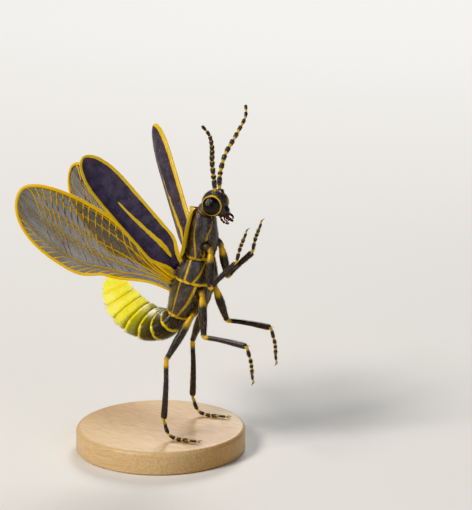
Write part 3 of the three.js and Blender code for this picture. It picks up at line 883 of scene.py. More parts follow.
@dataclass(frozen=True)
class Coat:
    """Short hairs that lie along a skin, each a bent and tapered bristle."""

    length: float
    thick: float
    per_mm2: float
    lift: float
    seed: int
    stray: float = 0.28
    mid: float = 0.55
    mid_thick: float = 0.75

    def grow(self, name: str, skins: Sequence[Piece], slot: Slot) -> Piece:
        """Sets hairs on some skins wherever their hair mark is above 0.

        Args:
            name: The coat's name.
            skins: The pieces that it grows on.
            slot: The record's slot for its finish; not used.

        Returns:
            The coat's object.
        """
        draw = np.random.default_rng(self.seed)
        count = len(skins)
        grown = [self._roots(skin.data, index, count, draw) for index, skin in enumerate(skins)]
        root, out, lie, chart = (np.concatenate(parts) for parts in zip(*grown))
        corners, patch = self._bristles(root, out, lie, draw)
        mesh = self._mesh(name, corners, chart, patch)
        mesh.materials.append(HAIR.material())
        piece = put(name, mesh)
        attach(piece, "root")
        LOG.info("%s: %d hairs", name, len(root))
        return piece

    def _roots(
        self, mesh: bpy.types.Mesh, index: int, count: int, draw: np.random.Generator,
    ) -> tuple[np.ndarray, ...]:
        """Draws the places of the roots on one skin.

        Args:
            mesh: The skin.
            index: The skin's number in the coat.
            count: How many skins the coat has.
            draw: The random draw.

        Returns:
            Roots, ways out of the skin, ways that the hairs lie, and places on the form map.
        """
        mesh.calc_loop_triangles()
        number = len(mesh.loop_triangles)
        corner, loop = np.zeros(number * 3, int), np.zeros(number * 3, int)
        mesh.loop_triangles.foreach_get("vertices", corner)
        mesh.loop_triangles.foreach_get("loops", loop)
        corner, loop = corner.reshape(-1, 3), loop.reshape(-1, 3)
        spots, outs = np.zeros(len(mesh.vertices) * 3), np.zeros(len(mesh.vertices) * 3)
        mesh.vertices.foreach_get("co", spots)
        mesh.vertex_normals.foreach_get("vector", outs)
        spots, outs = spots.reshape(-1, 3)[corner], outs.reshape(-1, 3)[corner]
        marks = np.zeros(len(mesh.vertices), np.float32)
        mesh.attributes[HAIR_MARK].data.foreach_get("value", marks)
        chart = np.zeros(len(mesh.loops) * 2, np.float32)
        mesh.uv_layers[FORM_MAP].uv.foreach_get("vector", chart)
        chart = chart.reshape(-1, 2)[loop]
        first, second = spots[:, 1] - spots[:, 0], spots[:, 2] - spots[:, 0]
        area = np.linalg.norm(np.cross(first, second), axis=1) / 2
        weight = area * np.clip(marks[corner].mean(axis=1), 0, 1)
        number = int(weight.sum() * self.per_mm2 / MM**2)
        pick = draw.choice(len(area), number, p=weight / weight.sum())
        share = draw.random((number, 2))
        folded = share.sum(axis=1) > 1
        share[folded] = 1 - share[folded]
        bary = np.column_stack([1 - share.sum(axis=1), share])[:, :, None]
        step = (chart[:, 1:] - chart[:, :1])[pick]
        spin = step[:, 0, 0] * step[:, 1, 1] - step[:, 1, 0] * step[:, 0, 1]
        lie = step[:, 0, :1] * second[pick] - step[:, 1, :1] * first[pick]
        lie = lie * np.sign(spin)[:, None]
        place = (chart[pick] * bary).sum(axis=1)
        place[:, 0] = (index + place[:, 0]) / count
        return (spots[pick] * bary).sum(axis=1), (outs[pick] * bary).sum(axis=1), lie, place

    def _bristles(
        self, root: np.ndarray, out: np.ndarray, lie: np.ndarray, draw: np.random.Generator,
    ) -> tuple[np.ndarray, np.ndarray]:
        """Shapes the bristles.

        Args:
            root: Their roots.
            out: Ways out of the skin.
            lie: Ways that they lie.
            draw: The random draw.

        Returns:
            Seven corners for each bristle, and each corner's place in its patch of the map.
        """
        def unit(vectors: np.ndarray) -> np.ndarray:
            """Vectors of length 1."""
            return vectors / np.maximum(np.linalg.norm(vectors, axis=-1, keepdims=True), 1e-12)

        count = len(root)
        out = unit(out)
        lie = unit(lie - out * (lie * out).sum(axis=1, keepdims=True))
        side = np.cross(out, lie)
        lie = unit(lie + side * draw.normal(0, self.stray, (count, 1)))
        side = np.cross(out, lie)
        rise = np.radians(self.lift * draw.uniform(0.6, 1.4, (count, 1)))
        long = self.length * MM * draw.uniform(0.7, 1.25, (count, 1))
        way = lie * np.cos(rise) + out * np.sin(rise)
        over = np.cross(side, way)
        bent = unit(way - out * 0.5 * np.sin(rise))
        knee = root + way * long * self.mid
        radius = self.thick / 2 * MM
        turns = np.arange(3) * math.tau / 3
        cosine, sine = np.cos(turns)[None, :, None], np.sin(turns)[None, :, None]
        rings = [middle[:, None] + grow * radius * (side[:, None] * cosine + over[:, None] * sine)
                 for middle, grow in ((root - out * radius, 1.0), (knee, self.mid_thick))]
        tip = knee + bent * long * (1 - self.mid)
        corners = np.concatenate([*rings, tip[:, None]], axis=1)
        rows = np.repeat([0.0, self.mid, 1.0], [3, 3, 1])
        columns = np.array([0.0, 0.5, 1.0, 0.0, 0.5, 1.0, 0.5])
        patch = (np.column_stack([columns, rows]) - 0.5) * TUFT_PATCH
        return corners, patch

    @staticmethod
    def _mesh(
        name: str, corners: np.ndarray, chart: np.ndarray, patch: np.ndarray,
    ) -> bpy.types.Mesh:
        """Joins the bristles in one mesh, with each one's patch on the map at its root's place.

        Args:
            name: The mesh's name.
            corners: Seven corners for each bristle.
            chart: Each root's place on the map.
            patch: Each corner's place in the patch.

        Returns:
            The mesh.
        """
        walls = [(1, 0, 3, 4), (2, 1, 4, 5), (0, 2, 5, 3)]
        caps = [(0, 1, 2), (4, 3, 6), (5, 4, 6), (3, 5, 6)]
        order = np.array([corner for face in walls + caps for corner in face])
        sizes = np.array([len(face) for face in walls + caps])
        count = len(corners)
        mesh = bpy.data.meshes.new(name)
        mesh.vertices.add(count * BRISTLE_CORNERS)
        mesh.vertices.foreach_set("co", corners.reshape(-1))
        mesh.loops.add(count * len(order))
        bristle = np.arange(count)[:, None]
        mesh.loops.foreach_set("vertex_index", (order + BRISTLE_CORNERS * bristle).reshape(-1))
        mesh.polygons.add(count * len(sizes))
        starts = np.concatenate([[0], np.cumsum(sizes)[:-1]])
        mesh.polygons.foreach_set("loop_start", (starts + len(order) * bristle).reshape(-1))
        mesh.update(calc_edges=True)
        layer = mesh.uv_layers.new(name=BAKE_MAP)
        spots = (chart[:, None] + patch[order]).astype(np.float32)
        layer.uv.foreach_set("vector", spots.reshape(-1))
        mesh.shade_smooth()
        mesh.validate()
        return mesh


BODY_COAT = Coat(length=0.19, thick=0.011, per_mm2=75, lift=20, seed=11)
CASE_COAT = Coat(length=0.14, thick=0.01, per_mm2=70, lift=16, seed=21)
HEAD_COAT = Coat(length=0.12, thick=0.01, per_mm2=80, lift=32, seed=31)
LIMB_COAT = Coat(length=0.13, thick=0.011, per_mm2=110, lift=30, seed=41)


@dataclass(frozen=True)
class Section:
    """Half sizes of the body's section: sideways, towards the back and towards the belly."""

    side: float
    back: float
    belly: float

    def drawn_in(self, taper: "Section", amount: float) -> "Section":
        """The section made smaller by shares of its half sizes, times an amount."""
        return Section(self.side * (1 - taper.side * amount), self.back * (1 - taper.back * amount),
                       self.belly * (1 - taper.belly * amount))


@dataclass(frozen=True)
class BodyPlan:
    """The body's middle line and sections, which its plates and legs are set on."""

    pronotum: float = 2.9
    mesothorax: float = 1.5
    metathorax: float = 2.6
    rings: int = 8
    prothorax_half: Section = Section(1.35, 0.6, 1.1)
    thorax_half: Section = Section(1.9, 1.05, 1.6)
    abdomen_half: Section = Section(2.15, 0.88, 1.15)
    neck: Section = Section(0.2, 0.0, 0.15)
    neck_reach: float = 1.4
    shoulder: Section = Section(0.12, 0.2, 0.2)
    shoulder_reach: float = 1.2
    waist: Section = Section(0.16, 0.25, 0.3)
    waist_reach: float = 1.4
    abdomen_start: float = 0.78
    abdomen_full: float = 0.35
    abdomen_taper: float = 0.45
    depth_power: float = 0.8
    spine: Course = field(default_factory=lambda: course_through(
        (0.1, 0, 15.1), (-0.35, 0, 12.2), (-1.5, 0, 8.6), (-2.25, 0, 7.6), (-3.3, 0, 7.25),
        (-4.5, 0, 7.55), (-5.6, 0, 8.4), (-6.3, 0, 9.5), (-6.6, 0, 10.3)))

    @property
    def wing_station(self) -> float:
        """Where the mesothorax starts."""
        return self.pronotum

    @property
    def rear_station(self) -> float:
        """Where the metathorax starts."""
        return self.pronotum + self.mesothorax

    @property
    def abdomen_station(self) -> float:
        """Where the abdomen starts."""
        return self.rear_station + self.metathorax

    @property
    def ring_length(self) -> float:
        """Length of one ring of the abdomen."""
        return (self.spine.length - self.abdomen_station) / self.rings

    def abdomen_share(self, station: float) -> float:
        """How far along the abdomen a station is, from 0 to 1."""
        return (station - self.abdomen_station) / (self.spine.length - self.abdomen_station)

    def section(self, station: float) -> Section:
        """The body's section at a station.

        Args:
            station: Distance along the spine from the neck.

        Returns:
            Its half sizes.
        """
        if station < self.wing_station:
            return self.prothorax_half.drawn_in(self.neck, 1 - smooth(0, self.neck_reach, station))
        if station < self.abdomen_station:
            full_from = self.wing_station + self.shoulder_reach
            narrow = 1 - smooth(self.wing_station, full_from, station)
            size = self.thorax_half.drawn_in(self.shoulder, narrow)
            drawn_from = self.abdomen_station - self.waist_reach
            return size.drawn_in(self.waist, smooth(drawn_from, self.abdomen_station, station))
        share = self.abdomen_share(station)
        swell = lerp(self.abdomen_start, 1, smooth(0, self.abdomen_full, share))
        width = rounded_end(min(1.0, share), self.abdomen_taper, 0.01)
        half, deep = self.abdomen_half, width**self.depth_power
        return Section(
            half.side * swell * width, half.back * swell * deep, half.belly * swell * deep)

    @lru_cache(maxsize=None)
    def rail(self, station: float) -> tuple[Vector, Vector, Section]:
        """The middle of the body at a station, the way to its back, and its section there."""
        share = station / self.spine.length
        back = LEFT.cross(self.spine.way(min(1.0, max(0.0, share))))
        return self.spine.at(share), back, self.section(station)

    def surface(self, turn: float, station: float, out: float, swell: float = 1.0) -> Vector:
        """A place on the body.

        Args:
            turn: Turn round the body, from the back by the left side and the belly.
            station: Distance along the spine.
            out: How far it stands proud of the section.
            swell: A scale for the section.

        Returns:
            The place.
        """
        middle, back, size = self.rail(station)
        cosine, sine = math.cos(turn * math.tau), math.sin(turn * math.tau)
        deep = (size.back if cosine > 0 else size.belly) * swell + out
        return middle + back * deep * cosine + LEFT * (size.side * swell + out) * sine


PLAN = BodyPlan()


@dataclass(frozen=True)
class LegPose:
    """Where one leg's joints are on the right side."""

    word: str
    root: Vector
    hip: Vector
    thigh: Vector
    thigh_length: float
    shin: Vector
    shin_length: float
    toes: tuple[Vector, ...] = ()

    @property
    def knee(self) -> Vector:
        """Where the femur ends."""
        return self.hip + self.thigh.normalized() * self.thigh_length

    @property
    def ankle(self) -> Vector:
        """Where the tibia ends."""
        return self.knee + self.shin.normalized() * self.shin_length

    def off_axis(self, spot: Vector) -> float:
        """How far a place is from the hip's line out of the body, or endlessly far behind it."""
        run, gap = (self.hip - self.root).normalized(), spot - self.root
        return (gap - run * run.dot(gap)).length if run.dot(gap) > 0 else math.inf


def leg_poses() -> list[LegPose]:
    """The pairs of legs: the front one held up, the middle one forwards, the hind one down."""
    front = LegPose("front", Vector((0.05, -0.6, 13.3)), Vector((0.95, -0.95, 12.95)),
                    Vector((0.22, -0.7, -2.4)), 2.6, Vector((1.8, 0.1, 1.87)), 2.6)
    middle = LegPose("middle", Vector((-0.6, -0.7, 10.5)), Vector((0.4, -1.15, 10.0)),
                     Vector((0.5, -1.0, -2.6)), 3.0, Vector((3.0, -0.2, -0.25)), 3.1)
    hind = LegPose("hind", Vector((-1.1, -0.6, 9.0)), Vector((-0.2, -1.0, 8.55)),
                   Vector((-1.5, -1.45, -3.1)), 3.7, Vector((-0.1, -0.25, -4.2)), 4.1)
    raised = (front.ankle + Vector((0.25, 0.05, 1.0)), front.ankle + Vector((0.65, 0.1, 2.05)))
    hanging = (middle.ankle + Vector((0.3, 0, -1.1)), middle.ankle + Vector((0.4, 0.05, -2.25)))
    ankle, foot = hind.ankle, 0.15
    steps = ((0.35, 0.05, 0.42), (0.95, 0.07, foot), (1.7, 0.09, foot), (2.4, 0.1, foot))
    standing = tuple(Vector((ankle.x + ahead, ankle.y - aside, height))
                     for ahead, aside, height in steps)
    feet = ((front, raised), (middle, hanging), (hind, standing))
    return [replace(pose, toes=toes) for pose, toes in feet]


POSES = leg_poses()


@dataclass(frozen=True)
class Trunk:
    """The body's plates over one soft skin, from the neck to the tip of the abdomen."""

    plan: BodyPlan = PLAN
    sides: int = 128
    ring_mesh: tuple[int, int] = (128, 48)
    thorax_mesh: tuple[int, int] = (240, 84)
    skin_swell: float = 0.88
    ring_swell: float = 0.8
    skin_rows: int = 150
    tuck: float = 0.16
    wall: float = 0.1
    rim_round: float = 0.03
    plate_step: float = 0.13
    ring_step: float = 0.2
    fold_turn: float = 0.29
    fold_width: float = 0.022
    fold_depth: float = 0.075
    seam_pale: float = 0.85
    seam_walls: tuple[float, float] = (0.025, 0.05)
    hollow: float = 0.08
    hollow_radius: float = 0.46
    hollow_rim: float = 0.07
    # Where on the spine the painted glow is centred, and the distances over which it fades
    painted_glow_share: float = 0.965
    lit_near: float = 1.3
    lit_far: float = 5.1

    def skin(self) -> Piece:
        """The soft skin between and under the plates, with the neck that carries the head."""
        plan = self.plan
        end = plan.spine.length - 0.15

        def place(turn: float, share: float) -> Vector:
            """A place on the skin, which is pleated round the body."""
            station = lerp(0.1, end, share)
            pleat = 0.02 * math.sin(station * math.tau / 0.14)
            behind = smooth(plan.abdomen_station - 0.4, plan.abdomen_station + 0.3, station)
            swell = lerp(self.skin_swell, self.ring_swell, behind)
            pleat *= smooth(0, 0.2, plan.section(station).side)
            return plan.surface(turn, station, pleat, swell)

        bare = {"rim": level(0.0)}
        body = swept(place, self.sides, even_stops(self.skin_rows), bare)
        course = course_through((0.02, 0, 14.4), (0.12, 0, 15.0), (0.5, 0, 15.5), (0.9, 0, 15.8))
        shape = rod(lambda share: 0.62 + 0.03 * math.sin(share * math.tau * 9))
        neck = limb(course, shape, 48, even_stops(72), bare)
        nodes = ["mesothorax", "metathorax", "abdomen_front", "abdomen_rear"]
        return set_down("body_skin", joined([body, neck]), SOFT_SKIN, Slot.SHELL, nodes)

    def band(
        self, start: float, end: float, seam: Mark, step: float, thoracic: bool = False,
    ) -> Form:
        """A plate that goes round the body, tucked under the one before and open inside.

        Args:
            start: Station where it comes out from under the one before.
            end: Station of its free edge.
            seam: Depth of the seams in its outer face, from turn and station.
            step: How far its free edge stands over the next plate.
            thoracic: True on the thorax, where the seams are pale and the hips stand in hollows.

        Returns:
            The form.
        """
        plan, long = self.plan, end - start
        girth = min(1.0, plan.section((start + end) / 2).belly)
        step, wall = step * girth, self.wall * girth
        outline = course_through(
            (start - self.tuck, -step - 1.6 * wall, 0), (start - self.tuck, -step - 0.4 * wall, 0),
            (start, -0.8 * step, 0), (start + 0.25 * long, -0.3 * step, 0),
            (start + 0.6 * long, -0.05 * step, 0), (end - 2 * self.rim_round, 0, 0),
            (end, -0.6 * self.rim_round, 0), (end - 0.02, -0.6 * wall, 0),
            (end - 0.15 * long, -1.3 * wall, 0), (start + 0.4 * long, -step - 1.2 * wall, 0),
            (start - self.tuck, -step - 1.6 * wall, 0))
        sides, rows = self.thorax_mesh if thoracic else self.ring_mesh
        stops = even_stops(rows)[:-1]
        spots = {stop: outline.at(stop) for stop in stops}
        turn_back = spots[max(spots, key=lambda stop: spots[stop].x)].x

        def outer(share: float) -> float:
            """1 on the outer face, fading to 0 inside."""
            if share >= 0.6:
                return 0.0
            return smooth(-step - 1.5 * wall, -step - 0.5 * wall, spots[share].y)

        def place(turn: float, share: float) -> Vector:
            """A place on the plate."""
            spot = spots[share]
            deep = seam(turn, spot.x) + (self.socket(turn, spot.x) if thoracic else 0.0)
            return plan.surface(turn, spot.x, spot.y - deep * outer(share))

        def rim(turn: float, share: float) -> float:
            """1 along the pale free edge, and less in the seams of the thorax."""
            ragged = 0.03 * math.sin(turn * math.tau * 7) + 0.02 * math.sin(turn * math.tau * 17)
            width = 0.13 + ragged
            edge = smooth(turn_back - width - 0.07, turn_back - width, spots[share].x)
            if thoracic:
                seamed = smooth(*self.seam_walls, seam(turn, spots[share].x))
                edge = max(edge, self.seam_pale * seamed * outer(share))
            return edge

        painted_glow_centre = plan.spine.at(self.painted_glow_share)
        ring_away = (plan.rail((start + end) / 2)[0] - painted_glow_centre).length

        def glow(turn: float, share: float) -> float:
            """How bright its painted glow is: less with each ring from the glow's centre, and
            painted shade where tucked in.
            """
            if thoracic:
                return 0.0
            # Painted glow: fades with distance from the tip, as if the tip shone
            away = (plan.surface(turn, spots[share].x, 0) - painted_glow_centre).length
            lit = 1 - smooth(self.lit_near, self.lit_far, lerp(away, ring_away, 0.4))
            # Painted shade: glow and colour drop to 0.55 where the ring comes out from under the
            # one before
            return lit * lerp(0.55, 1.0, smooth(start, start + 0.45 * long, spots[share].x))

        def hairy(turn: float, share: float) -> float:
            """1 on the open part of the outer face, and less where it shines."""
            if spots[share].x <= start + 0.05:
                return 0.0
            return outer(share) * (1 - 0.8 * glow(turn, share))

        marks = {"rim": rim, "glow": glow, HAIR_MARK: hairy}
        return swept(place, sides, stops, marks, endless=True)

    def socket(self, turn: float, station: float) -> float:
        """Depth of the hollows that the hips stand in, and less than 0 on their raised rims."""
        spot, depth = self.plan.surface(turn, station, 0), 0.0
        spot.y = -abs(spot.y)
        for pose in POSES:
            gap = pose.off_axis(spot)
            if gap < 1:
                hollow = 1 - smooth(self.hollow_radius - 0.12, self.hollow_radius, gap)
                rim = bell(gap, self.hollow_radius + 0.08, 0.08)
                depth += self.hollow * hollow - self.hollow_rim * rim
        return depth

    def prothorax(self) -> Piece:
        """The first ring of the thorax, under the shield."""
        def seam(turn: float, station: float) -> float:
            """The seams beside the breast plate and under the shield."""
            turned = from_back(turn)
            breast = 0.09 * bell(turned, 0.44 - 0.07 * smooth(0.3, 1.5, station), 0.009)
            flank = 0.08 * bell(turned, 0.2 + 0.035 * station, 0.009)
            return breast + flank

        form = self.band(0.12, self.plan.pronotum - 0.02, seam, self.plate_step, thoracic=True)
        return set_down("prothorax", form, SHELL, Slot.SHELL)

    def thorax(self) -> Piece:
        """The two rings that carry the wings, with their seams and the scutellum."""
        plan = self.plan

        def front_seam(turn: float, station: float) -> float:
            """The mesothorax's seams."""
            turned = from_back(turn)
            slant = 0.4 - 0.06 * (station - plan.wing_station)
            return 0.09 * bell(turned, slant, 0.009) + 0.08 * bell(turned, 0.26, 0.009)

        def rear_seam(turn: float, station: float) -> float:
            """The metathorax's middle seam, side seams and hip plates."""
            turned = from_back(turn)
            share = (station - plan.rear_station) / plan.metathorax
            middle = 0.08 * bell(turned, 0.5, 0.007)
            side = 0.1 * bell(turned, 0.35 - 0.05 * share, 0.009)
            flank = 0.09 * bell(turned, 0.22 + 0.02 * share, 0.009)
            hip = 0.024 * bell(share, 0.8 + 0.6 * abs(turned - 0.42), 0.035)
            return middle + side + flank + hip * smooth(0.33, 0.36, turned)

        stations = (plan.wing_station, plan.rear_station, plan.abdomen_station)
        bands = [self.band(start + 0.05, end + 0.02, seam, self.plate_step, thoracic=True)
                 for start, end, seam in zip(stations, stations[1:], (front_seam, rear_seam))]
        return set_down("thorax_plates", joined([*bands, self.scutellum()]), SHELL, Slot.SHELL)

    def scutellum(self) -> Form:
        """The small triangular plate on the back, between the roots of the wing cases."""
        plan, half_width, length, proud = self.plan, 0.62, 1.2, 0.05

        def place(turn: float, share: float) -> Vector:
            """A place on the plate, which narrows to a blunt point at its rear."""
            width = half_width * max(0.03, dome(share, 0.2)) * lerp(1.0, 0.22, share)
            angle = turn * math.tau
            station = plan.wing_station + 0.12 + length * share
            aside = math.asin(width * math.sin(angle) / plan.section(station).side) / math.tau
            thick = 0.09 * max(0.03, dome(share, 0.3))
            return plan.surface(aside, station, proud + thick * math.cos(angle))

        def rim(turn: float, share: float) -> float:
            """Its pale sides and point."""
            beside = smooth(0.6, 0.95, abs(math.sin(turn * math.tau)))
            return 0.85 * max(beside, smooth(0.8, 0.95, share))

        return swept(place, 48, round_stops(36), {"rim": rim, HAIR_MARK: level(0.5)})

    def abdomen(self) -> list[Piece]:
        """The rings of the abdomen, dark in front and with a painted glow behind."""
        plan = self.plan
        made = []
        for index in range(plan.rings - 1):
            start = plan.abdomen_station + index * plan.ring_length
            end = start + plan.ring_length
            form = self.band(start + 0.05, end + 0.05, self.ring_dent, self.ring_step)
            made.append(set_down(f"abdomen_ring_{index + 1}", form, LANTERN, Slot.LANTERN))
        made.append(set_down("abdomen_tip", self.tip(), LANTERN, Slot.LANTERN, ["lantern"]))
        return made

    def ring_dent(self, turn: float, station: float) -> float:
        """The side fold between a ring's back and belly plates, shallower as the body narrows."""
        fold = self.fold_depth * bell(from_back(turn), self.fold_turn, self.fold_width)
        return fold * min(1.0, self.plan.section(station).belly)

    def tip(self) -> Form:
        """The last ring, which closes in a blunt tip."""
        plan = self.plan
        start = plan.spine.length - plan.ring_length - self.tuck
        stops = tip_stops(60)

        def place(turn: float, share: float) -> Vector:
            """A place on the last ring."""
            station = lerp(start, plan.spine.length, share)
            tuck = 0.09 * (1 - smooth(0, 0.45, share))
            notch = 0.05 * bell(from_back(turn), 0.25, 0.02) * smooth(0.2, 0.6, share)
            return plan.surface(turn, station, -tuck - notch * plan.section(station).belly)

        marks = {
            "rim": level(0.0),
            # Painted glow, with painted shade where the tip comes out from under the ring before
            "glow": lambda turn, share: lerp(0.6, 1.0, smooth(0.05, 0.35, share)),
            HAIR_MARK: lambda turn, share: 0.2 * smooth(0.05, 0.3, share),
        }
        return swept(place, self.sides, stops, marks)

    def build(self) -> list[Piece]:
        """Makes the trunk's pieces and the hairs on them."""
        breast = [self.prothorax(), self.thorax()]
        rings = self.abdomen()
        coats = [BODY_COAT.grow("coat_thorax", breast, Slot.SHELL),
                 BODY_COAT.grow("coat_abdomen", rings, Slot.LANTERN)]
        return [self.skin(), *breast, *rings, *coats]


@dataclass(frozen=True)
class Shield:
    """The pronotum's shield: a semicircle with a flat, lifted rim round a domed disc."""

    plan: BodyPlan = PLAN
    width: float = 3.8
    thickness: float = 0.3
    arch: float = 0.5
    overhang: float = 0.3
    front_width: float = 0.1
    rim_share: float = 0.16

    def form(self) -> Form:
        """The shield's shape and markings."""
        plan = self.plan
        front, rear = -self.overhang, plan.pronotum - 0.12

        def across_of(turn: float) -> float:
            """Place across the shield, from -1 to 1, at a turn round its section."""
            return -math.cos(turn * math.tau)

        def inset(turn: float, share: float) -> float:
            """How far in from the shield's edge a place is, as a share of its half width."""
            outline = rounded_end(1 - share, 0, self.front_width)
            side = (1 - abs(across_of(turn))) * outline
            return min(side, 1.6 * share, 1.4 * (1 - share) + 0.02)

        def place(turn: float, share: float) -> Vector:
            """A place on the shield."""
            station = lerp(front, rear, share)
            spot = max(0.0, station) / plan.spine.length
            back = LEFT.cross(plan.spine.way(spot))
            across = across_of(turn)
            outline = rounded_end(1 - share, 0, self.front_width)
            hook = 0.12 * smooth(0.6, 1.0, abs(across)) * smooth(0.75, 1.0, share)
            middle = plan.spine.at(spot) + plan.spine.way(spot) * (min(0.0, station) + hook)
            hump = 0.5 - across**2 * (1.1 - 0.3 * across**4)
            lift = 0.12 * (1 - smooth(0.0, self.rim_share, inset(turn, share)))
            groove = 0.05 * bell(inset(turn, share), self.rim_share, 0.035)
            groove += 0.04 * bell(across, 0, 0.03)
            side = math.sin(turn * math.tau)
            thin = lerp(0.4, 1.0, smooth(0.0, 0.3, inset(turn, share)))
            thick = self.thickness / 2 * thin * abs(side) ** 0.6 * math.copysign(1, side)
            height = plan.prothorax_half.back + self.arch * hump + lift + thick
            if side > 0:
                height -= groove
            return middle + back * height - LEFT * (self.width / 2 * outline * across)

        def disc(turn: float, share: float) -> float:
            """1 on the rosy disc, where the face looks up."""
            above = 1.0 if math.sin(turn * math.tau) > 0 else 0.0
            return smooth(0.2, 0.42, inset(turn, share)) * above

        def bar(turn: float, share: float) -> float:
            """1 on the dark bar along the middle."""
            width = 0.13 + 0.07 * math.sin(share * 5.2)
            along = smooth(0.1, 0.2, share)
            return (1 - smooth(width, width + 0.09, abs(across_of(turn)))) * along

        marks = {
            "disc": disc, "bar": bar,
            HAIR_MARK: lambda turn, share: 1.0 if math.sin(turn * math.tau) > 0.05 else 0.0,
        }
        return swept(place, 128, round_stops(80), marks)

    def build(self) -> list[Piece]:
        """Makes the shield and the hairs on it."""
        piece = set_down("pronotum_shield", self.form(), SHIELD, Slot.PRONOTUM, ["pronotum"])
        return [piece, CASE_COAT.grow("coat_pronotum", [piece], Slot.PRONOTUM)]


@dataclass(frozen=True)
class Head:
    """Head capsule with sunk eyes, sockets for the antennae, jaws and feelers."""

    centre: Vector = fixed(0.9, 0, 15.9)
    half: Vector = fixed(0.86, 0.84, 0.88)
    muzzle: Vector = fixed(1.5, 0, 15.38)
    muzzle_half: Vector = fixed(0.42, 0.5, 0.4)
    socket: Vector = fixed(1.1, -0.42, 16.55)
    socket_radius: float = 0.29
    eye: Vector = fixed(0.95, -0.74, 15.85)
    eye_radius: float = 0.62
    eye_bulge: float = 0.54
    ring_gap: float = 0.01
    ring_sunk: float = 0.02
    ring_thick: float = 0.06
    lens_height: float = 0.012
    reach: float = 2.4

    @staticmethod
    def egg(spots: np.ndarray, centre: Sequence[float], half: Sequence[float]) -> np.ndarray:
        """Distance of places to an egg-shaped solid."""
        scaled = (spots - np.array(centre)) / np.array(half)
        near = np.linalg.norm(scaled, axis=1)
        slope = np.linalg.norm(scaled / np.array(half), axis=1)
        return near * (near - 1) / np.maximum(slope, 1e-6)

    @staticmethod
    def cord(
        spots: np.ndarray, start: Sequence[float], end: Sequence[float], radius: float,
    ) -> np.ndarray:
        """Distance of places to a straight round bar."""
        run = np.array(end) - np.array(start)
        share = np.clip((spots - np.array(start)) @ run / (run @ run), 0, 1)[:, None]
        return np.linalg.norm(spots - np.array(start) - share * run, axis=1) - radius

    @staticmethod
    def merge(one: np.ndarray, other: np.ndarray, blend: float) -> np.ndarray:
        """Distance to two solids run together with a soft seam."""
        share = np.clip(0.5 + 0.5 * (other - one) / blend, 0, 1)
        return other * (1 - share) + one * share - blend * share * (1 - share)

    def carve(self, one: np.ndarray, other: np.ndarray, blend: float) -> np.ndarray:
        """Distance to the first solid with the other cut out of it."""
        return -self.merge(-one, other, blend)

    def distance(self, spots: np.ndarray) -> np.ndarray:
        """Distance of places to the head's surface, less than 0 inside it.

        Args:
            spots: Places in millimetres.

        Returns:
            Their distances.
        """
        near = np.column_stack([spots[:, 0], -np.abs(spots[:, 1]), spots[:, 2]])
        solid = self.egg(near, self.centre, self.half)
        solid = self.merge(solid, self.egg(near, self.muzzle, self.muzzle_half), 0.16)
        lip = self.muzzle + Vector((0.27, 0, -0.2))
        solid = self.merge(solid, self.egg(near, lip, (0.2, 0.34, 0.13)), 0.05)
        solid = self.merge(solid, self.egg(near, self.socket, (self.socket_radius,) * 3), 0.14)
        cup = self.socket + Vector((-0.02, -0.05, 0.3))
        solid = self.carve(solid, self.egg(near, cup, (0.19, 0.19, 0.2)), 0.05)
        ring = near - np.array(self.eye)
        beside = np.hypot(ring[:, 0], ring[:, 2]) - self.eye_radius - self.ring_gap
        round_eye = np.hypot(beside, ring[:, 1] - self.ring_sunk) - self.ring_thick
        solid = self.merge(solid, round_eye, 0.08)
        groove = self.cord(near, (1.55, 0, 16.65), (1.83, 0, 15.75), 0.05)
        solid = self.carve(solid, groove, 0.08)
        seam = self.cord(near, (1.86, 0, 15.62), (1.5, -0.55, 15.62), 0.022)
        return self.carve(solid, seam, 0.03)

    def capsule(self) -> Piece:
        """The head's shell: a fine ball whose corners are drawn in onto the head's surface."""
        form = bmesh.new()
        chart = form.loops.layers.uv.new(FORM_MAP)
        marks = {name: form.verts.layers.float.new(name) for name in ("rim", HAIR_MARK)}
        bmesh.ops.create_icosphere(form, subdivisions=7, radius=1.0)
        ways = np.array([corner.co for corner in form.verts])
        ways /= np.linalg.norm(ways, axis=1, keepdims=True)
        reach = np.full(len(ways), self.reach)
        centre = np.array(self.centre)
        for _ in range(70):
            reach -= 0.7 * self.distance(centre + ways * reach[:, None])
        spots = centre + ways * reach[:, None]
        eye = np.array(self.eye)
        for corner, spot in zip(form.verts, spots):
            gap = math.hypot(spot[0] - eye[0], spot[2] - eye[2])
            under_eye = abs(spot[1]) > 0.45 and gap < self.eye_radius + 0.03
            off_ring = math.hypot(gap - self.eye_radius - self.ring_gap,
                                  abs(spot[1]) + eye[1] + self.ring_sunk)
            corner[marks["rim"]] = 0.9 * (1 - smooth(0.09, 0.12, off_ring))
            corner[marks[HAIR_MARK]] = 0.0 if under_eye else 1.0
        for face in form.faces:
            around = [loop.vert.co for loop in face.loops]
            turns = [math.atan2(way.y, way.z) / math.tau + 0.5 for way in around]
            wraps = max(turns) - min(turns) > 0.5
            for loop, turn in zip(face.loops, turns):
                turn += 1 if wraps and turn < 0.5 else 0
                polar = math.acos(max(-1.0, min(1.0, loop.vert.co.x))) / math.pi
                loop[chart].uv = (min(1.0, turn), polar)
        for corner, spot in zip(form.verts, spots):
            corner.co = spot
        return set_down("head_capsule", form, HEAD_SHELL, Slot.SHELL, ["head"])

